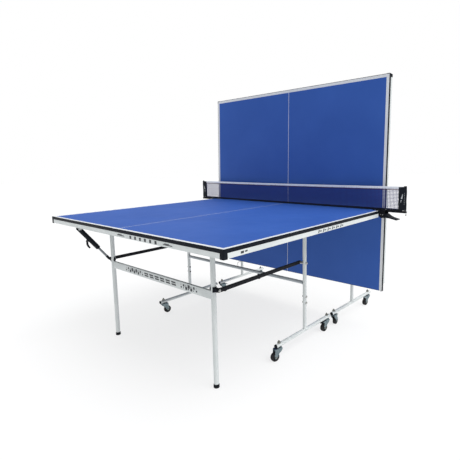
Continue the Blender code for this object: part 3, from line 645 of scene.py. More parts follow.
def make_tops():
    board = block(BOARD_LOW, BOARD_HIGH)
    on_halves("playing_board", board, BOARD, "top", ["board"], bevel=0.0004)
    on_halves("edge_trim", edge_band(), EDGE, "top", ["edge_band"])
    for node in ("front_apron_frame", "rear_apron_frame"):
        dress(node, WHITE_STEEL)
    cap = corner_cap(BASELINE - 0.0003, 1, CORNER_LOW.z, 0.0195, 0.0015, TOP + 0.0002)
    sole = rounded((BASELINE - 0.001, SIDE - 0.018), (BASELINE + 0.018, SIDE + 0.001), 0.004)
    cap = merge(cap, prism(sole, "Z", CORNER_LOW.z, CORNER_LOW.z + 0.0018))
    inner = corner_cap(NET_EDGE + 0.0002, -1, UNDERSIDE - 0.003, 0.012, 0.0012, TOP + 0.0002)
    for side in SIDES:
        on_side(side, "corner_cap", cap, BLACK, "top", "corner", bevel=0.0003)
        on_side(side, "net_corner_cap", inner, BLACK, "top", bevel=0.0003)


def make_apron_screws():
    """Pan-head screws through the apron's shelf into the board, and through the straps."""
    shelf = APRON_HIGH.z - WALL
    heads = []
    for k in range(7):
        x = BASELINE + 0.1 + k * 0.195
        for y in (-SIDE + 0.0105, SIDE - 0.0105):
            heads.append(button((x, y, shelf), (0, 0, -1), 0.0042, 0.0022))
    for k in range(6):
        y = -0.6 + k * 0.24
        heads.append(button((BASELINE + 0.0105, y, shelf), (0, 0, -1), 0.0042, 0.0022))
    strap = APRON_HIGH.z - 0.0035
    for x in (PIVOT.x, LEG_PIVOT.x):
        for y in (-0.66, -0.3, 0.0, 0.3, 0.66):
            heads.append(button((x, y, strap), (0, 0, -1), 0.0045, 0.0024))
    on_halves("board_screws", merge(*heads), BRIGHT, "top")


def make_pivot_bolts():
    """The bolts through the ears that the posts and legs hang from."""
    ear = 0.0012 + 0.003
    bolts = []
    for x, y, r in ((PIVOT.x, POST_Y, POST_R), (LEG_PIVOT.x, LEG_Y, LEG_R)):
        face = y + r + ear
        bolts.append(bolt((x, face, PIVOT.z), (0, 1, 0), 0.01, 0.0042))
        bolts.append(bolt((x, y - r - ear, PIVOT.z), (0, -1, 0), 0.01, 0.0042))
    x, y, z = LATCH_TOP
    reach = SLEEVE_R + ear
    head = button((x, y + reach, z), (0, 1, 0), 0.0055, 0.003)
    nut = bolt((x, y - reach, z), (0, -1, 0), 0.008, 0.0035)
    on_halves("pivot_bolts", merge(both_sides(merge(*bolts)), head, nut), BRIGHT, "top")


# ---------------------------------------------------------------- printed marks, all of them plain


def slanted_bar(y, z, width, height, slant):
    return [(y - slant / 2, z - height / 2), (y + width - slant / 2, z - height / 2),
            (y + width + slant / 2, z + height / 2), (y + slant / 2, z + height / 2)]


def square(y, z, size):
    half = size / 2
    return [(y - half, z - half), (y + half, z - half), (y + half, z + half), (y - half, z + half)]


MARK_PROUD = 0.00018
APRON_LOW_FACE = (CORNER_LOW.z + 0.0015 + UNDERSIDE - LIP) / 2
CHANNEL_WEB = LEG_PIVOT.x - 0.006


def mark(outline, axis, face, sign):
    """A film of ink on a face that looks along -X or -Y."""
    return prism(outline, axis, face - sign * MARK_PROUD, face + sign * 0.0004)


def make_marks():
    web = CHANNEL_WEB
    middle = 0.46
    outlines = []
    for k in range(6):
        y = 0.072 - k * 0.0495
        outlines.append(slanted_bar(y, middle + 0.006, 0.036, 0.0078, 0.003))
        outlines.append(slanted_bar(y - 0.0025, middle - 0.006, 0.036, 0.0078, 0.003))
    for left, right, count in ((0.296, 0.128, 9), (-0.222, -0.34, 7)):
        for k in range(count):
            edge = min(k, count - 1 - k)
            size = min(0.009 + 0.003 * edge, 0.017)
            y = left + (right - left) * k / (count - 1)
            outlines.append(square(y, middle + (0.0058 if k % 2 else -0.0058), size))
            outlines.append(square(y + 0.002, middle + (-0.0075 if k % 2 else 0.0075), size * 0.45))
    on_halves("channel_marks", merge(*[mark(o, "X", web, 1) for o in outlines]), INK, "legs")
    z = APRON_LOW_FACE
    outlines = []
    for y in (-0.045, -0.422):
        outlines.append(slanted_bar(y - 0.034, z - 0.001, 0.064, 0.0042, 0.006))
        outlines.append(slanted_bar(y - 0.012, z + 0.0035, 0.034, 0.0036, 0.005))
    for k in range(6):
        outlines.append(square(-0.134 - k * 0.0406, z, 0.015))
    on_halves("end_apron_marks", merge(*[mark(o, "X", BASELINE, 1) for o in outlines]), INK, "top")
    outlines = []
    for k in range(6):
        x = -0.224 + k * 0.0428
        outlines.append(slanted_bar(x, z, 0.009, 0.015, 0.006))
        outlines.append(slanted_bar(x + 0.0145, z, 0.014, 0.0058, 0.002))
    outlines.append(slanted_bar(-0.772, z, 0.018, 0.0095, 0.003))
    outlines.append(slanted_bar(-0.748, z + 0.001, 0.014, 0.006, 0.003))
    on_halves("side_apron_marks", merge(*[mark(o, "Y", -SIDE, 1) for o in outlines]), INK, "top")


# ---------------------------------------------------------------- trolleys


PLUG_FACE = 0.003


def make_stands():
    beam = pipe((STAND_LOW.x + PLUG_FACE, POST_Y, BEAM_Z), (STAND_HIGH.x - PLUG_FACE, POST_Y, BEAM_Z), POST_R)
    upright = pipe((PIVOT.x, POST_Y, BEAM_Z + POST_R * 0.5), (PIVOT.x, POST_Y, JOIN_Z), POST_R)
    stand = merge(beam, upright, saddle_weld(PIVOT.x, POST_Y, BEAM_Z, POST_R))
    upper = pipe((PIVOT.x, POST_Y, JOIN_Z + 0.0003), (PIVOT.x, POST_Y, POST_HIGH.z), POST_R)
    for side in SIDES:
        on_side(side, "beam", stand, WHITE_STEEL, "trolley", "stand")
        on_side(side, "upright", upper, WHITE_STEEL, "trolley", "post")
    # The crossbar tube wears the white powder coat darkened to grey, which is painted shade.
    bar = pipe((PIVOT.x, BAR_LOW.y, BAR_Z), (PIVOT.x, BAR_HIGH.y, BAR_Z), BAR_R)
    beads = both_sides(weld((PIVOT.x, BAR_HIGH.y - 0.0004, BAR_Z), (0, 1, 0), BAR_R, 0.0018))
    on_halves("crossbar_tube", merge(bar, beads), WHITE_STEEL_PAINTED_SHADE, "trolley", ["crossbar"])


def end_plug(place, direction, radius):
    """A black plug pressed into a tube's end, with a chamfered face."""
    face, bore = PLUG_FACE, radius - WALL
    profile = [(0, -0.012), (bore - 0.0004, -0.012), (bore - 0.0002, 0), (radius + 0.0002, 0)]
    profile += [(radius + 0.0002, face * 0.55), (radius - 0.0012, face), (radius * 0.55, face)]
    profile += [(radius * 0.5, face - 0.0006), (0, face - 0.0006)]
    return lathe(profile, place, direction)


def make_trolley_fittings():
    plugs = merge(
        end_plug((STAND_LOW.x + PLUG_FACE, POST_Y, BEAM_Z), (-1, 0, 0), POST_R),
        end_plug((STAND_HIGH.x - PLUG_FACE, POST_Y, BEAM_Z), (1, 0, 0), POST_R),
    )
    on_halves("beam_plugs", both_sides(plugs), BLACK, "trolley")
    bolts, knobs = [], []
    for z in (0.254, 0.29):
        bolts.append(bolt((PIVOT.x, POST_Y + POST_R - 0.0004, z), (0, 1, 0), 0.01, 0.005))
        knobs.append(button((PIVOT.x, POST_Y - POST_R + 0.0004, z), (0, -1, 0), 0.0058, 0.0045))
    low, high = POST_R - 0.0002, POST_R + 0.0009
    ring = [(low, 0), (high, 0.0002), (high, 0.0042), (low, 0.0046)]
    collar = lathe(ring, (PIVOT.x, POST_Y, JOIN_Z - 0.0022), (0, 0, 1), 32, closed=True)
    bolts.append(bolt((PIVOT.x, POST_Y + POST_R, STRUT_PIVOT.z), (0, 1, 0), 0.011, 0.005))
    gap = POST_Y - POST_R - STRUT_HIGH.y - 0.001
    spacer = [(0.004, 0), (0.0075, 0), (0.0075, gap), (0.004, gap)]
    bolts.append(lathe(spacer, (PIVOT.x, STRUT_HIGH.y + 0.0006, STRUT_PIVOT.z), (0, 1, 0), 24, closed=True))
    bolts.append(bolt((PIVOT.x, STRUT_LOW.y - 0.0004, STRUT_PIVOT.z), (0, -1, 0), 0.01, 0.0042))
    on_halves("post_bolts", both_sides(merge(*bolts)), BRIGHT, "trolley")
    on_halves("post_knobs", both_sides(merge(*knobs)), BLACK, "trolley")
    on_halves("post_collars", both_sides(collar), WHITE_STEEL, "trolley")


def make_wire_hook():
    """A bent wire hook on the rear half's left-hand post."""
    x = anchor("rear_fold").x - POST_R
    y, z = POST_Y, 0.214
    line = [
        (x + 0.004, y, z), (x - 0.012, y, z), (x - 0.028, y, z + 0.001), (x - 0.038, y, z - 0.002),
        (x - 0.043, y, z - 0.01), (x - 0.043, y, z - 0.022), (x - 0.042, y, z - 0.031),
    ]
    make("wire_hook", sweep(smooth_line(line, 5), 0.0022, 10), BRIGHT, "rear_trolley")


# ---------------------------------------------------------------- legs and struts


def make_legs():
    legs = both_sides(pipe((LEG_PIVOT.x, LEG_Y, 0.0048), (LEG_PIVOT.x, LEG_Y, LEG_HIGH.z), LEG_R))
    web, depth, low, high, r = CHANNEL_WEB, 0.012, 0.438, 0.48, 0.002
    outer = arc((web + r, low + r), r, 270, 180, 4) + arc((web + r, high - r), r, 180, 90, 4)
    outer += [(web + depth, high), (web + depth, high - WALL)]
    inner = arc((web + r, high - r), r - WALL, 90, 180, 3) + arc((web + r, low + r), r - WALL, 180, 270, 3)
    inner += [(web + depth, low + WALL), (web + depth, low)]
    reach = LEG_Y - LEG_R + 0.0012
    channel = prism(outer + inner, "Y", -reach, reach)
    beads = []
    for z in (low, high):
        for k in range(9):
            x = web + 0.001 + k * 0.00125
            y = LEG_Y - math.sqrt(max(LEG_R**2 - (x - LEG_PIVOT.x) ** 2, 0))
            beads.append(dome((x, y + 0.0004, z), (0, -1, 0.6 if z == high else -0.6), 0.0016, 0.0013, 3))
    y = LEG_Y - math.sqrt(LEG_R**2 - (LEG_PIVOT.x - web) ** 2) + 0.0006
    beads += [dome((web, y, z), (-1, -0.6, 0), 0.0017, 0.0013, 3) for z in steps(low, high, 21)]
    shape = merge(legs, channel, both_sides(merge(*beads)))
    on_halves("legs_and_channel", shape, WHITE_STEEL, "legs", ["leg_frame"])
    top_plug = end_plug((LEG_PIVOT.x, LEG_Y, LEG_HIGH.z - 0.003), (0, 0, 1), LEG_R)
    on_halves("leg_plugs", both_sides(top_plug), BLACK, "legs")
    r, rim, bore = FOOT_HIGH.x - LEG_PIVOT.x, FOOT_HIGH.z, LEG_R + 0.0003
    profile = [
        (0, 0), (r - 0.0035, 0), (r - 0.0012, 0.0006), (r, 0.0022), (r, 0.006), (r - 0.0008, 0.0066),
        (r - 0.0008, 0.0076), (r, 0.0082), (r, 0.012), (r - 0.0006, 0.016), (r - 0.001, rim - 0.0006),
        (r - 0.0016, rim), (bore, rim), (bore, 0.0042), (0, 0.0042),
    ]
    foot = lathe(profile, (LEG_PIVOT.x, LEG_Y, 0), (0, 0, 1), 40)
    for side in SIDES:
        on_side(side, "foot_cup", foot, BLACK, "legs", "foot")


def make_leg_clips():
    """The black clip around each leg that the strut is bolted to, with a short tail on the inner side."""
    x, y, z = LEG_PIVOT.x, LEG_Y, STRUT_PIVOT.z
    inner, outer = LEG_R + 0.0002, LEG_R + 0.003
    hug = arc((x, y), outer, 10, 150, 20) + arc((x, y), inner, 150, 10, 20)
    collar = prism(hug, "Z", z - 0.0125, z + 0.0125)
    lug = rounded((x - 0.0085, z - 0.0105), (x + 0.0085, z + 0.0105), 0.004)
    lug = prism(lug, "Y", y + LEG_R + 0.001, STRUT_LOW.y - 0.0008)
    tail = [(x - 0.006, z - 0.006), (x + 0.006, z - 0.006), (x + 0.004, z + 0.006), (x + 0.001, z + 0.02)]
    tail += [(x - 0.001, z + 0.02), (x - 0.004, z + 0.006)]
    tail = prism(tail, "Y", y - LEG_R - 0.005, y - LEG_R + 0.0002)
    nut = button((x, y - LEG_R - 0.0046, z), (0, -1, 0), 0.0072, 0.006)
    on_halves("leg_clips", both_sides(merge(collar, lug, tail, nut)), BLACK, "legs", bevel=0.0006)
    head = bolt((x, STRUT_HIGH.y + 0.0004, z), (0, 1, 0), 0.01, 0.004)
    on_halves("strut_bolts", both_sides(head), BRIGHT, "legs")


def make_struts():
    z = STRUT_PIVOT.z
    outline = arc((PIVOT.x, z), STRUT_R, -90, 90, 12) + arc((LEG_PIVOT.x, z), STRUT_R, 90, 270, 12)
    bar = prism(outline, "Y", STRUT_LOW.y, STRUT_HIGH.y)
    for side in SIDES:
        on_side(side, "brace", bar, BLACK_STEEL, "struts", "strut", bevel=0.0022, segments=3)


# ---------------------------------------------------------------- the telescopic latch


LATCH_RUN = LATCH_FOOT - LATCH_TOP
ALONG = LATCH_RUN.normalized()
SLEEVE_R = 0.0135
SLEEVE_BORE = 0.0115
SLEEVE_LENGTH = 0.172
ROD_R = 0.0068


def make_latch():
    r, bore, end = SLEEVE_R, SLEEVE_BORE, SLEEVE_LENGTH
    profile = [
        (bore, -0.008), (r - 0.0015, -0.008), (r, -0.0065),
        (r, 0.01), (r - 0.0007, 0.0108), (r - 0.0007, 0.013), (r, 0.0138), (r, 0.118), (r - 0.0007, 0.1188), (r - 0.0007, 0.1206), (r, 0.1214), (r, end - 0.012),
        (r - 0.0004, end - 0.011), (r - 0.0002, end - 0.0015), (r - 0.0014, end), (bore + 0.0004, end),
        (bore, end - 0.0006),
    ]
    body = lathe(profile, LATCH_TOP, ALONG, 36, closed=True)
    across = Vector((ALONG.z, 0, -ALONG.x))
    if across.dot(TRIGGER_PIN - LATCH_TOP) < 0:
        across = -across
    lugs = []
    for sign in (1, -1):
        reach = (TRIGGER_PIN - LATCH_TOP).dot(ALONG)
        roots = [LATCH_TOP + ALONG * (reach + along) + across * 0.01 for along in (-0.009, 0.009)]
        angle = math.degrees(math.atan2(ALONG.z, ALONG.x))
        outline = [(p.x, p.z) for p in roots]
        outline += arc((TRIGGER_PIN.x, TRIGGER_PIN.z), 0.0045, angle + 10, angle - 190, 8)
        near = LATCH_TOP.y + sign * 0.0056
        lugs.append(prism(outline, "Y", near, near + sign * 0.0025))
    on_halves("latch_grip", merge(body, *lugs), BLACK, "latch_sleeve", ["latch_sleeve"], bevel=0.0003)
    pin = sweep([TRIGGER_PIN + Vector((0, dy, 0)) for dy in (-0.0092, 0.0092)], 0.0018, 14)
    on_halves("trigger_pin", pin, BRIGHT, "latch_sleeve")
    r, length = ROD_R, LATCH_RUN.length
    profile = [(0, 0.014), (r - 0.001, 0.014), (r, 0.0155), (r, length - 0.021), (0, length - 0.021)]
    on_halves("latch_bar", lathe(profile, LATCH_TOP, ALONG), STEEL, "latch_rod", ["latch_rod"])
    profile = [(r - 0.0005, length - 0.024), (r + 0.0007, length - 0.023), (r + 0.001, length - 0.02)]
    profile += [(r + 0.001, length + 0.003), (r + 0.0002, length + 0.006), (0, length + 0.0065)]
    on_halves("latch_bar_cap", lathe(profile, LATCH_TOP, ALONG), BLACK, "latch_rod")
    foot_pin = button(LATCH_FOOT + Vector((0, r + 0.0019, 0)), (0, 1, 0), 0.005, 0.0028)
    on_halves("latch_foot_pin", foot_pin, BRIGHT, "latch_rod")
    curve, half_thick = 0.04, 0.0035
    at_pin, start, end = math.radians(165), 164, 232
    centre = (TRIGGER_PIN.x - curve * math.cos(at_pin), TRIGGER_PIN.z - curve * math.sin(at_pin))
    outer = arc(centre, curve + half_thick, start, end, 18)
    inner = arc(centre, curve - half_thick * 1.7, end - 2, start, 18)
    trigger = prism(outer + inner, "Y", LATCH_TOP.y - 0.005, LATCH_TOP.y + 0.005)
    on_halves("latch_finger", trigger, BLACK, "latch_trigger", ["latch_trigger"], bevel=0.0012, segments=3)


# ---------------------------------------------------------------- casters


TRAIL = 0.028
WHEEL_R = 0.025
WHEEL_HALF = 0.01
FORK_TOP = 0.0744


def caster_fork():
    inner = WHEEL_HALF + 0.001
    sheet = 0.002
    profile = [(0, 0.069), (0.012, 0.069), (0.0138, 0.07), (0.015, 0.0708), (0.016, 0.0712)]
    profile += [(0.0165, 0.072), (0.0165, 0.0734), (0.0158, FORK_TOP), (0, FORK_TOP)]
    head = lathe(profile, (0, 0, 0), (0, 0, 1), 36)
    outline = arc((TRAIL, WHEEL_R), 0.0088, -135, 20, 10)
    outline += [(TRAIL + 0.0095, 0.036), (0.033, 0.047), (0.033, 0.066), (0.031, 0.0705), (-0.015, 0.0705)]
    outline += [(-0.0155, 0.064), (-0.006, 0.052), (0.006, 0.044)]
    ears = [prism(outline, "Y", sign * inner, sign * (inner + sheet)) for sign in (1, -1)]
    return merge(head, *ears)


def caster_plate():
    reach = WHEEL_HALF + 0.003
    return prism(rounded((-0.0155, -reach), (0.0325, reach), 0.0045), "Z", 0.069, 0.0714)


def caster_bolts():
    nut_base = BEAM_Z + POST_R - 0.0004
    tip = 0.113
    cap_base = nut_base + 0.0072
    stem = merge(
        sweep([(0, 0, 0.0735), (0, 0, nut_base + 0.002)], 0.004, 16),
        washer((0, 0, nut_base), (0, 0, 1), 0.0102, 0.0016),
        hex_nut((0, 0, nut_base + 0.0014), (0, 0, 1), 0.016, 0.0068),
        dome((0, 0, cap_base), (0, 0, 1), 0.0052, tip - cap_base, 6, 0.001),
    )
    reach = WHEEL_HALF + 0.003
    axle = merge(
        hex_nut((TRAIL, reach, WHEEL_R), (0, 1, 0), 0.009, 0.0034),
        hex_nut((TRAIL, -reach, WHEEL_R), (0, -1, 0), 0.009, 0.0034),
        sweep([(TRAIL, -reach, WHEEL_R), (TRAIL, reach, WHEEL_R)], 0.003, 14),
    )
    return merge(stem, axle)


def caster_brake():
    """A toe lever over the wheel."""
    outline = [(0.03, 0.069), (0.04, 0.065), (0.048, 0.059), (0.056, 0.057)]
    outline += [(0.0566, 0.0592), (0.049, 0.0616), (0.041, 0.0678), (0.031, 0.0712)]
    return prism(outline, "Y", -0.0105, 0.0105)


def turned(profile, sides):
    """A wheel's part from one side's profile: the other side is its mirror image."""
    both = profile + [(r, -h) for r, h in reversed(profile)]
    return lathe(both, (TRAIL, 0, WHEEL_R), (0, 1, 0), sides, closed=True)


def caster_tyre():
    r, half = WHEEL_R, WHEEL_HALF
    profile = [
        (0.015, half - 0.0016), (0.0176, half - 0.0004), (r - 0.0036, half), (r - 0.0012, half - 0.0012),
        (r - 0.0002, half - 0.0034), (r, 0.0022), (r - 0.0006, 0.0012),
    ]
    return turned(profile, 56)


def caster_hub():
    half = WHEEL_HALF
    profile = [
        (0.0036, half - 0.0004), (0.0066, half - 0.0004), (0.0072, half - 0.0028), (0.0134, half - 0.0034),
        (0.0144, half - 0.0014), (0.0156, half - 0.0014),
    ]
    shapes = [turned(profile, 40)]
    for k in range(6):
        angle = math.radians(60 * k)
        spoke = block((0.0066, -half + 0.0016, -0.0008), (0.014, half - 0.0016, 0.0008))
        place = Matrix.Translation((TRAIL, 0, WHEEL_R)) @ Matrix.Rotation(angle, 4, "Y")
        shapes.append(moved(spoke, place))
    return merge(*shapes)


def make_casters():
    fork, plate, bolts = caster_fork(), caster_plate(), caster_bolts()
    brake, tyre, hub = caster_brake(), caster_tyre(), caster_hub()
    for half in ("front", "rear"):
        for name in CASTERS:
            swivel = anchor(f"{half}_{name}_swivel")
            axle = anchor(f"{half}_{name}_roll")
            angle = math.atan2(axle.y - swivel.y, axle.x - swivel.x)
            place = Matrix.Translation((swivel.x, swivel.y, 0)) @ Matrix.Rotation(angle, 4, "Z")
            base = f"{half}_{name}"

            def add(suffix, shape, material, body, replaces=(), bevel=0.0):
                make(f"{base}_{suffix}", moved(shape, place), material, f"{base}_{body}", replaces, bevel,
                     flat=shape[0])

            add("caster_fork", fork, ZINC, "swivel", [f"{base}_fork"], 0.0003)
            add("caster_plate", plate, BLUED, "swivel", bevel=0.0004)
            add("caster_bolts", bolts, NUTS, "swivel")
            add("tyre", tyre, TYRE, "wheel", [f"{base}_wheel"])
            add("hub", hub, HUB, "wheel", bevel=0.0002)
            if name.endswith("inner"):
                add("brake", brake, BLACK, "swivel", bevel=0.0006)


# ---------------------------------------------------------------- the net


CELL = 0.0088
TWINE_R = 0.0013
TAPE_HEIGHT = 0.015
HEM_LOW = TOP + 0.0012
HEM_HEIGHT = 0.0135
SAG = 0.0035


def sag(y):
    """How far the net's top hangs below its ends."""
    return SAG * (1 - (y / NET_HIGH.y) ** 2) + 0.0015


def thread(line, radius):
    return sweep(line, radius, 6)


def make_net():
    """Square woven netting, each thread passing over and under the ones that it crosses."""
    half = NET_HIGH.y
    low, high = HEM_LOW + HEM_HEIGHT * 0.5, NET_TOP - TAPE_HEIGHT * 0.4
    columns = round(2 * half / CELL)
    rows = round((high - low) / CELL)
    swing = TWINE_R * 0.7

    def place(i, k, up):
        y = -half + 2 * half * i / columns
        z = low + (high - sag(y) - low) * k / rows
        over = swing if (i + k) % 2 else -swing
        slack = 0.0004 * math.sin(i * 0.9 + k * 1.7)
        return (NET_X + (over if up else -over), y + slack, z + 0.0003 * math.sin(i * 1.3 - k * 0.8))

    threads = [thread([place(i, k, True) for k in range(rows + 1)], TWINE_R) for i in range(columns + 1)]
    threads += [thread([place(i, k, False) for i in range(columns + 1)], TWINE_R) for k in range(1, rows)]
    netting = make("netting", merge(*threads), NET_TWINE, "front_top", ["net"], angle=80)
    tape = make("net_tape", folded_band(TAPE_HEIGHT, NET_TOP, 0.0017, sag), TAPE, "front_top")
    hem_band = folded_band(HEM_HEIGHT, HEM_LOW + HEM_HEIGHT, 0.0013, lambda y: 0.0)
    hem = make("net_hem", hem_band, SLEEVE_CLOTH, "front_top")
    cord_line = []
    for y in steps(-half, half, 90):
        drop = TAPE_HEIGHT + 0.0038 + sag(y) + 0.0004 * math.sin(y * 31)
        cord_line.append((NET_X - 0.0012, y, NET_TOP - drop))
    head_cord = make("net_head_cord", sweep(cord_line, 0.0015, 8), DARK_CORD, "front_top")
    sewn = merge(stitches(TAPE_HEIGHT - 0.0018), stitches(TAPE_HEIGHT - 0.004))
    sewing = make("net_tape_stitches", sewn, THREAD, "front_top")


def steps(low, high, count):
    return [low + (high - low) * k / count for k in range(count + 1)]


def lean(y):
    """How far the net's cloth wanders off its plane."""
    return 0.00024 * (math.sin(y * 23) + 0.5 * math.sin(y * 61 + 1))


def folded_band(height, top, thick, drop):
    """A strip of cloth folded over the net's edge, with a slight wander along its length."""
    half = NET_HIGH.y + 0.004
    loops = []
    for y in steps(-half, half, 160):
        puff = thick * (1 + 0.1 * math.sin(y * 140))
        high = top - drop(y)
        middle = NET_X + lean(y)
        outline = rounded((middle - puff, high - height), (middle + puff, high), puff * 0.9, 3)
        loops.append([(x, y, z) for x, z in outline])
    return rings(loops)


def stitches(down):
    """Short thread stitches along the tape, on both of its faces."""
    pitch, length = 0.0058, 0.004
    found = []
    half = NET_HIGH.y - 0.022
    for k in range(int(2 * half / pitch)):
        y = -half + k * pitch
        z = NET_TOP - down - sag(y)
        for sign in (-1, 1):
            x = NET_X + lean(y) + sign * 0.00175
            line = [(x, y, z), (x + sign * 0.0003, y + length / 2, z), (x, y + length, z)]
            found.append(sweep(line, 0.00028, 5))
    return merge(*found)


SLEEVE_INNER = NET_POST_HIGH.y - 0.0525
SLEEVE_TOP = NET_POST_HIGH.z - 0.0035


def net_sleeve():
    """The cloth sleeve over the left net post, a little creased, with its top and bottom sewn."""
    outer = NET_POST_HIGH.y - 0.0045
    low = TOP + 0.0082
    loops = []
    for k in range(33):
        t = k / 32
        z = low + (SLEEVE_TOP - low) * t
        squeeze = 0.0007 * math.sin(t * 17) + 0.0005 * math.sin(t * 41 + 1)
        tight = 0.0012 if k in (2, 30) else 0.0
        depth = 0.005 - tight + squeeze * 0.5
        a, b = SLEEVE_INNER + squeeze - 0.0008, outer + 0.0006 * math.sin(t * 11)
        outline = rounded((NET_X - depth, a), (NET_X + depth, b), depth * 0.85, 4)
        loops.append([(x, y, z - 0.0045 * (1 - (y - a) / (b - a)) * t) for x, y in outline])
    return rings(loops)


CHEEK = 0.0031
CHEEK_FACES = (LEVER_LOW.x - 0.0012 - CHEEK, LEVER_HIGH.x + 0.0012 + CHEEK)


def net_clamp():
    """The steel clamp on the table's edge: upper jaw, tongue, back plate, two cheeks and the arm."""
    y, x0, x1 = SIDE, *CHEEK_FACES
    jaw = prism(rounded((x0, y - 0.022), (x1, y + 0.034), 0.004), "Z", TOP + 0.0003, TOP + 0.005)
    tongue = rounded((NET_X - 0.0125, y - 0.056), (NET_X + 0.0075, y), 0.004)
    tongue = prism(tongue, "Z", TOP + 0.0003, TOP + 0.0036)
    back = rounded((x0 - 0.009, NET_POST_LOW.z + 0.003), (x1 + 0.002, TOP + 0.005), 0.003)
    back = prism(back, "Y", y + 0.0022, y + 0.0075)
    outline = [(y + 0.003, TOP + 0.0046), (y + 0.034, TOP + 0.0046), (y + 0.035, TOP - 0.004)]
    outline += [(y + 0.0345, TOP - 0.016), (y + 0.0325, TOP - 0.03), (y + 0.028, TOP - 0.0385)]
    outline += [(y + 0.023, TOP - 0.0425), (y + 0.012, TOP - 0.043), (y + 0.003, TOP - 0.039)]
    cheeks = [prism(outline, "X", x, x + CHEEK) for x in (x0, x1 - CHEEK)]
    return merge(jaw, tongue, back, *cheeks, net_arm())


def net_arm():
    """The arm: flat over the table's edge, and a deeper channel beyond it that narrows to its end."""
    loops = []
    start = SIDE - 0.03
    for t in steps(0, 1, 24):
        y = start + (NET_POST_HIGH.y - 0.0035 - start) * t
        wide = 0.009 - 0.003 * t
        beyond = min(max((y - SIDE - 0.01) / 0.012, 0), 1)
        low = TOP + 0.0003 - 0.0085 * beyond
        high = TOP + 0.0075 - 0.003 * t
        loops.append([(x, y, z) for x, z in rounded((NET_X - wide, low), (NET_X + wide, high), 0.0022, 3)])
    return rings(loops)


def net_lever():
    """The sprung handle: a jaw under the board, and a grip that thins and curls up a little at its tip."""
    tip = LEVER_HIGH.y
    low = LEVER_LOW.z
    under = LEVER_HIGH.z
    top = [(0.7885, 0.036), (0.803, 0.0335), (0.816, 0.0245), (0.833, 0.0155)]
    top += [(0.854, 0.0092), (tip - 0.002, 0.0056)]
    bottom = [(tip, 0.003), (tip - 0.004, 0.0008), (0.848, 0.0048), (0.83, 0.0085)]
    bottom += [(0.808, 0.0105), (0.783, 0.01), (SIDE + 0.004, 0.013)]
    outline = []
    for edge in (top, bottom):
        outline += [(p.x, p.z) for p in smooth_line([(y, 0, low + up) for y, up in edge], 6)]
    outline += [(SIDE - 0.008, under - 0.0125), (SIDE - 0.018, under - 0.006), (SIDE - 0.018, under)]
    outline += [(SIDE - 0.006, under), (SIDE + 0.001, under - 0.019), (SIDE + 0.012, under - 0.019)]
    outline += [(SIDE + 0.017, under - 0.005)]
    return prism(outline, "X", LEVER_LOW.x, LEVER_HIGH.x)


def net_knob():
    profile = [(0, 0), (0.0034, 0), (0.0036, 0.0012), (0.005, 0.0018), (0.0062, 0.0034), (0.0064, 0.0052)]
    profile += [(0.006, 0.0074), (0.0046, 0.009), (0, 0.0096)]
    return lathe(profile, (NET_X, NET_POST_HIGH.y - 0.0102, TOP - 0.0014), (0, 1, 0), 24)


def net_bolts():
    """The heads on the clamp's jaw and tongue, and on its two cheeks."""
    pivot = anchor("net_left_lever_squeeze")
    heads = [button((NET_X, SIDE + 0.026, TOP + 0.0076), (0, 0, 1), 0.0042, 0.0026)]
    heads.append(button((NET_X - 0.006, SIDE - 0.04, TOP + 0.0034), (0, 0, 1), 0.0032, 0.0018))
    for x, sign in zip(CHEEK_FACES, (-1, 1)):
        heads.append(button((x, pivot.y, pivot.z), (sign, 0, 0), 0.003, 0.0018))
        heads.append(button((x, pivot.y - 0.0125, pivot.z + 0.001), (sign, 0, 0), 0.0026, 0.0016))
    return merge(*heads)


def sleeve_marks():
    """A row of dots and three slanted stripes on both faces of the sleeve."""
    marks = []
    outer = NET_POST_HIGH.y
    dot = [(0, 0), (0.0016, 0), (0.0016, 0.0003), (0, 0.0003)]
    for sign in (-1, 1):
        film = NET_X + sign * 0.0052
        for k in range(7):
            marks.append(lathe(dot, (film, outer - 0.016, TOP + 0.047 + k * 0.0105), (sign, 0, 0), 12))
        for k in range(3):
            y, z = outer - 0.0385 + 0.0035 * k, TOP + 0.056 + 0.01 * k
            stripe = [(y, z), (y + 0.0028, z), (y + 0.0052, z + 0.03), (y + 0.0024, z + 0.03)]
            marks.append(prism(stripe, "X", film - 0.0002, film + 0.0002))
    return merge(*marks)


def make_net_hardware():
    outer = NET_POST_HIGH.y
    core = rounded((NET_X - 0.0028, outer - 0.022), (NET_X + 0.0028, outer - 0.0055), 0.002)
    core = prism(core, "Z", TOP + 0.006, NET_POST_HIGH.z - 0.0002)
    pad = rounded((LEVER_LOW.x + 0.004, SIDE - 0.0175), (LEVER_HIGH.x - 0.004, SIDE - 0.0065), 0.002)
    pad = prism(pad, "Z", LEVER_HIGH.z - 0.0004, LEVER_HIGH.z + 0.0008)
    for side, place in (("left", lambda shape: shape), ("right", mirrored)):
        name, lever = f"net_{side}", f"net_{side}_lever"
        make(f"{name}_clamp", place(net_clamp()), BLACK_STEEL, "front_top", [f"{name}_post"], bevel=0.0008)
        make(f"{name}_sleeve", place(net_sleeve()), SLEEVE_CLOTH, "front_top")
        make(f"{name}_post_core", place(core), BLACK_STEEL, "front_top", bevel=0.0006)
        make(f"{name}_handle", place(net_lever()), BLACK, lever, [lever], bevel=0.0014, segments=3)
        make(f"{name}_jaw_pad", place(pad), TYRE, lever)
        make(f"{name}_knob", place(net_knob()), BLACK, "front_top")
        make(f"{name}_bolts", place(net_bolts()), BRIGHT, "front_top")
        make(f"{name}_sleeve_marks", place(sleeve_marks()), PALE_INK, "front_top")
    make_tension_cord()


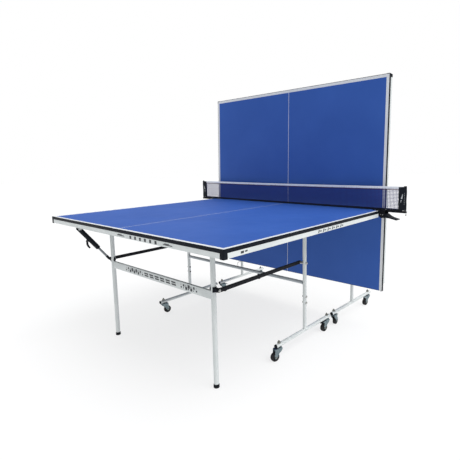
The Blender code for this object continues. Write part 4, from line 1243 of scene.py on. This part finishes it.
def make_tension_cord():
    """The cord that hangs at the right sleeve's outer edge, from a small knot down to a bead."""
    x, y = NET_X - 0.0072, -NET_POST_HIGH.y + 0.0012
    route = [
        (x + 0.0016, y + 0.004, TOP + 0.0585), (x + 0.0006, y + 0.0012, TOP + 0.0565), (x, y, TOP + 0.05),
        (x - 0.0004, y + 0.0002, TOP + 0.038), (x - 0.0006, y, TOP + 0.024),
        (x - 0.0006, y + 0.0002, TOP + 0.01),
        (x - 0.0004, y, TOP - 0.002), (x, y + 0.0002, TOP - 0.014),
    ]
    line = smooth_line(route, 6)
    length = sum((b - a).length for a, b in zip(line, line[1:]))
    radius = 0.0007

    def bead(place, size, height):
        half = [(0, 0), (size * 0.7, height * 0.06), (size, height * 0.3)]
        profile = half + [(size, height * 0.65), (size * 0.7, height * 0.92), (0, height)]
        return lathe(profile, place, (0, 0, 1), 18)

    knot = bead(line[0] - Vector((0.0006, 0, 0.0022)), 0.0019, 0.0044)
    end = bead(line[-1] - Vector((0, -0.002, 0.0085)), 0.0031, 0.0095)
    bead_piece = make("net_cord_beads", merge(knot, end), GREY, "front_top")
    curve = bpy.data.curves.new("net_tension_cord", "CURVE")
    curve.dimensions = "3D"
    curve.bevel_depth = radius
    curve.bevel_resolution = 3
    curve.use_fill_caps = True
    spline = curve.splines.new("POLY")
    spline.points.add(len(line) - 1)
    for point, place in zip(spline.points, line):
        point.co = (*place, 1)
    curve.materials.append(PALE_CORD)
    cord = place_object("net_tension_cord", curve)
    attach(cord, "front_top")
    tuple(line[0])


# ---------------------------------------------------------------- stage


STAGE_SIZE = 60
BACKDROP_RADIUS = 25


def stage_object(name, mesh):
    obj = place_object(name, mesh)
    return obj


def make_floor():
    """A pale floor that glows a little, so that the shadows on it stay light."""
    n = Nodes("studio_floor")
    tone = n.blend(n.noise(0.6, 2), (0.235, 0.236, 0.238), (0.25, 0.251, 0.253))
    n.finish(tone, 0.9, Specular_IOR_Level=0.0, Emission_Color=(1, 1, 1, 1), Emission_Strength=0.76)
    mesh = bpy.data.meshes.new("studio_floor")
    corners = [(x * STAGE_SIZE, y * STAGE_SIZE, 0) for x, y in ((-1, -1), (1, -1), (1, 1), (-1, 1))]
    mesh.from_pydata(corners, [], [(0, 1, 2, 3)])
    mesh.materials.append(n.material)
    stage_object("studio_floor", mesh).location.z = -0.0002


def make_backdrop():
    """A white surround that only the camera sees, and that lights nothing."""
    n = Nodes("studio_backdrop")
    n.finish((0, 0, 0), 1.0, Specular_IOR_Level=0.0, Emission_Color=(1, 1, 1, 1), Emission_Strength=1.0)
    r = BACKDROP_RADIUS
    profile = [(r, -1.0), (r, r * 0.5), (r * 0.7, r * 0.85), (0, r)]
    points, faces = lathe(profile, (0, 0, 0), (0, 0, 1), 48)
    mesh = bpy.data.meshes.new("studio_backdrop")
    mesh.from_pydata([tuple(p) for p in points], [], faces)
    mesh.materials.append(n.material)
    surround = stage_object("studio_backdrop", mesh)
    surround.visible_diffuse = False
    surround.visible_glossy = False
    surround.visible_shadow = False
    surround.visible_transmission = False


def sun(name, towards, power, spread):
    light = bpy.data.lights.new(name, "SUN")
    light.energy = power
    light.angle = math.radians(spread)
    obj = place_object(name, light)
    obj.rotation_euler = Vector(towards).to_track_quat("-Z", "Y").to_euler()


def make_lights():
    world = bpy.data.worlds.new("studio")
    world.use_nodes = True
    background = world.node_tree.nodes["Background"]
    background.inputs["Color"].default_value = (0.97, 0.985, 1.0, 1)
    background.inputs["Strength"].default_value = 0.45
    bpy.context.scene.world = world
    sun("key", (-0.16, 0.62, -1.0), 2.1, 55)
    sun("top", (0.15, 0.05, -1.0), 0.6, 80)


def make_camera():
    """The photograph's viewpoint, solved for this table's own size."""
    place = Vector((-1.8166, -1.762, 1.074))
    azimuth, down, roll = math.radians(48.493), math.radians(7.616), math.radians(-1.011)
    ahead = Vector((math.sin(azimuth) * math.cos(down), math.cos(azimuth) * math.cos(down), -math.sin(down)))
    right = Vector((math.cos(azimuth), -math.sin(azimuth), 0))
    up = right.cross(ahead)
    tilted_right = right * math.cos(roll) + up * math.sin(roll)
    tilted_up = up * math.cos(roll) - right * math.sin(roll)
    camera = bpy.data.cameras.new("camera")
    camera.sensor_width = 36
    camera.lens = 30.38
    camera.shift_x, camera.shift_y = -0.0542, -0.0355
    camera.clip_end = 200
    obj = place_object("camera", camera)
    axes = Matrix((tilted_right, tilted_up, -ahead)).transposed()
    obj.matrix_world = Matrix.Translation(place) @ axes.to_4x4()
    bpy.context.scene.camera = obj


make_camera()
make_tops()
make_apron_screws()
make_pivot_bolts()
make_marks()
make_stands()
make_trolley_fittings()
make_wire_hook()
make_legs()
make_leg_clips()
make_struts()
make_latch()
make_casters()
make_net()
make_net_hardware()
make_floor()
make_backdrop()
make_lights()
bpy.context.scene.view_settings.view_transform = "Standard"
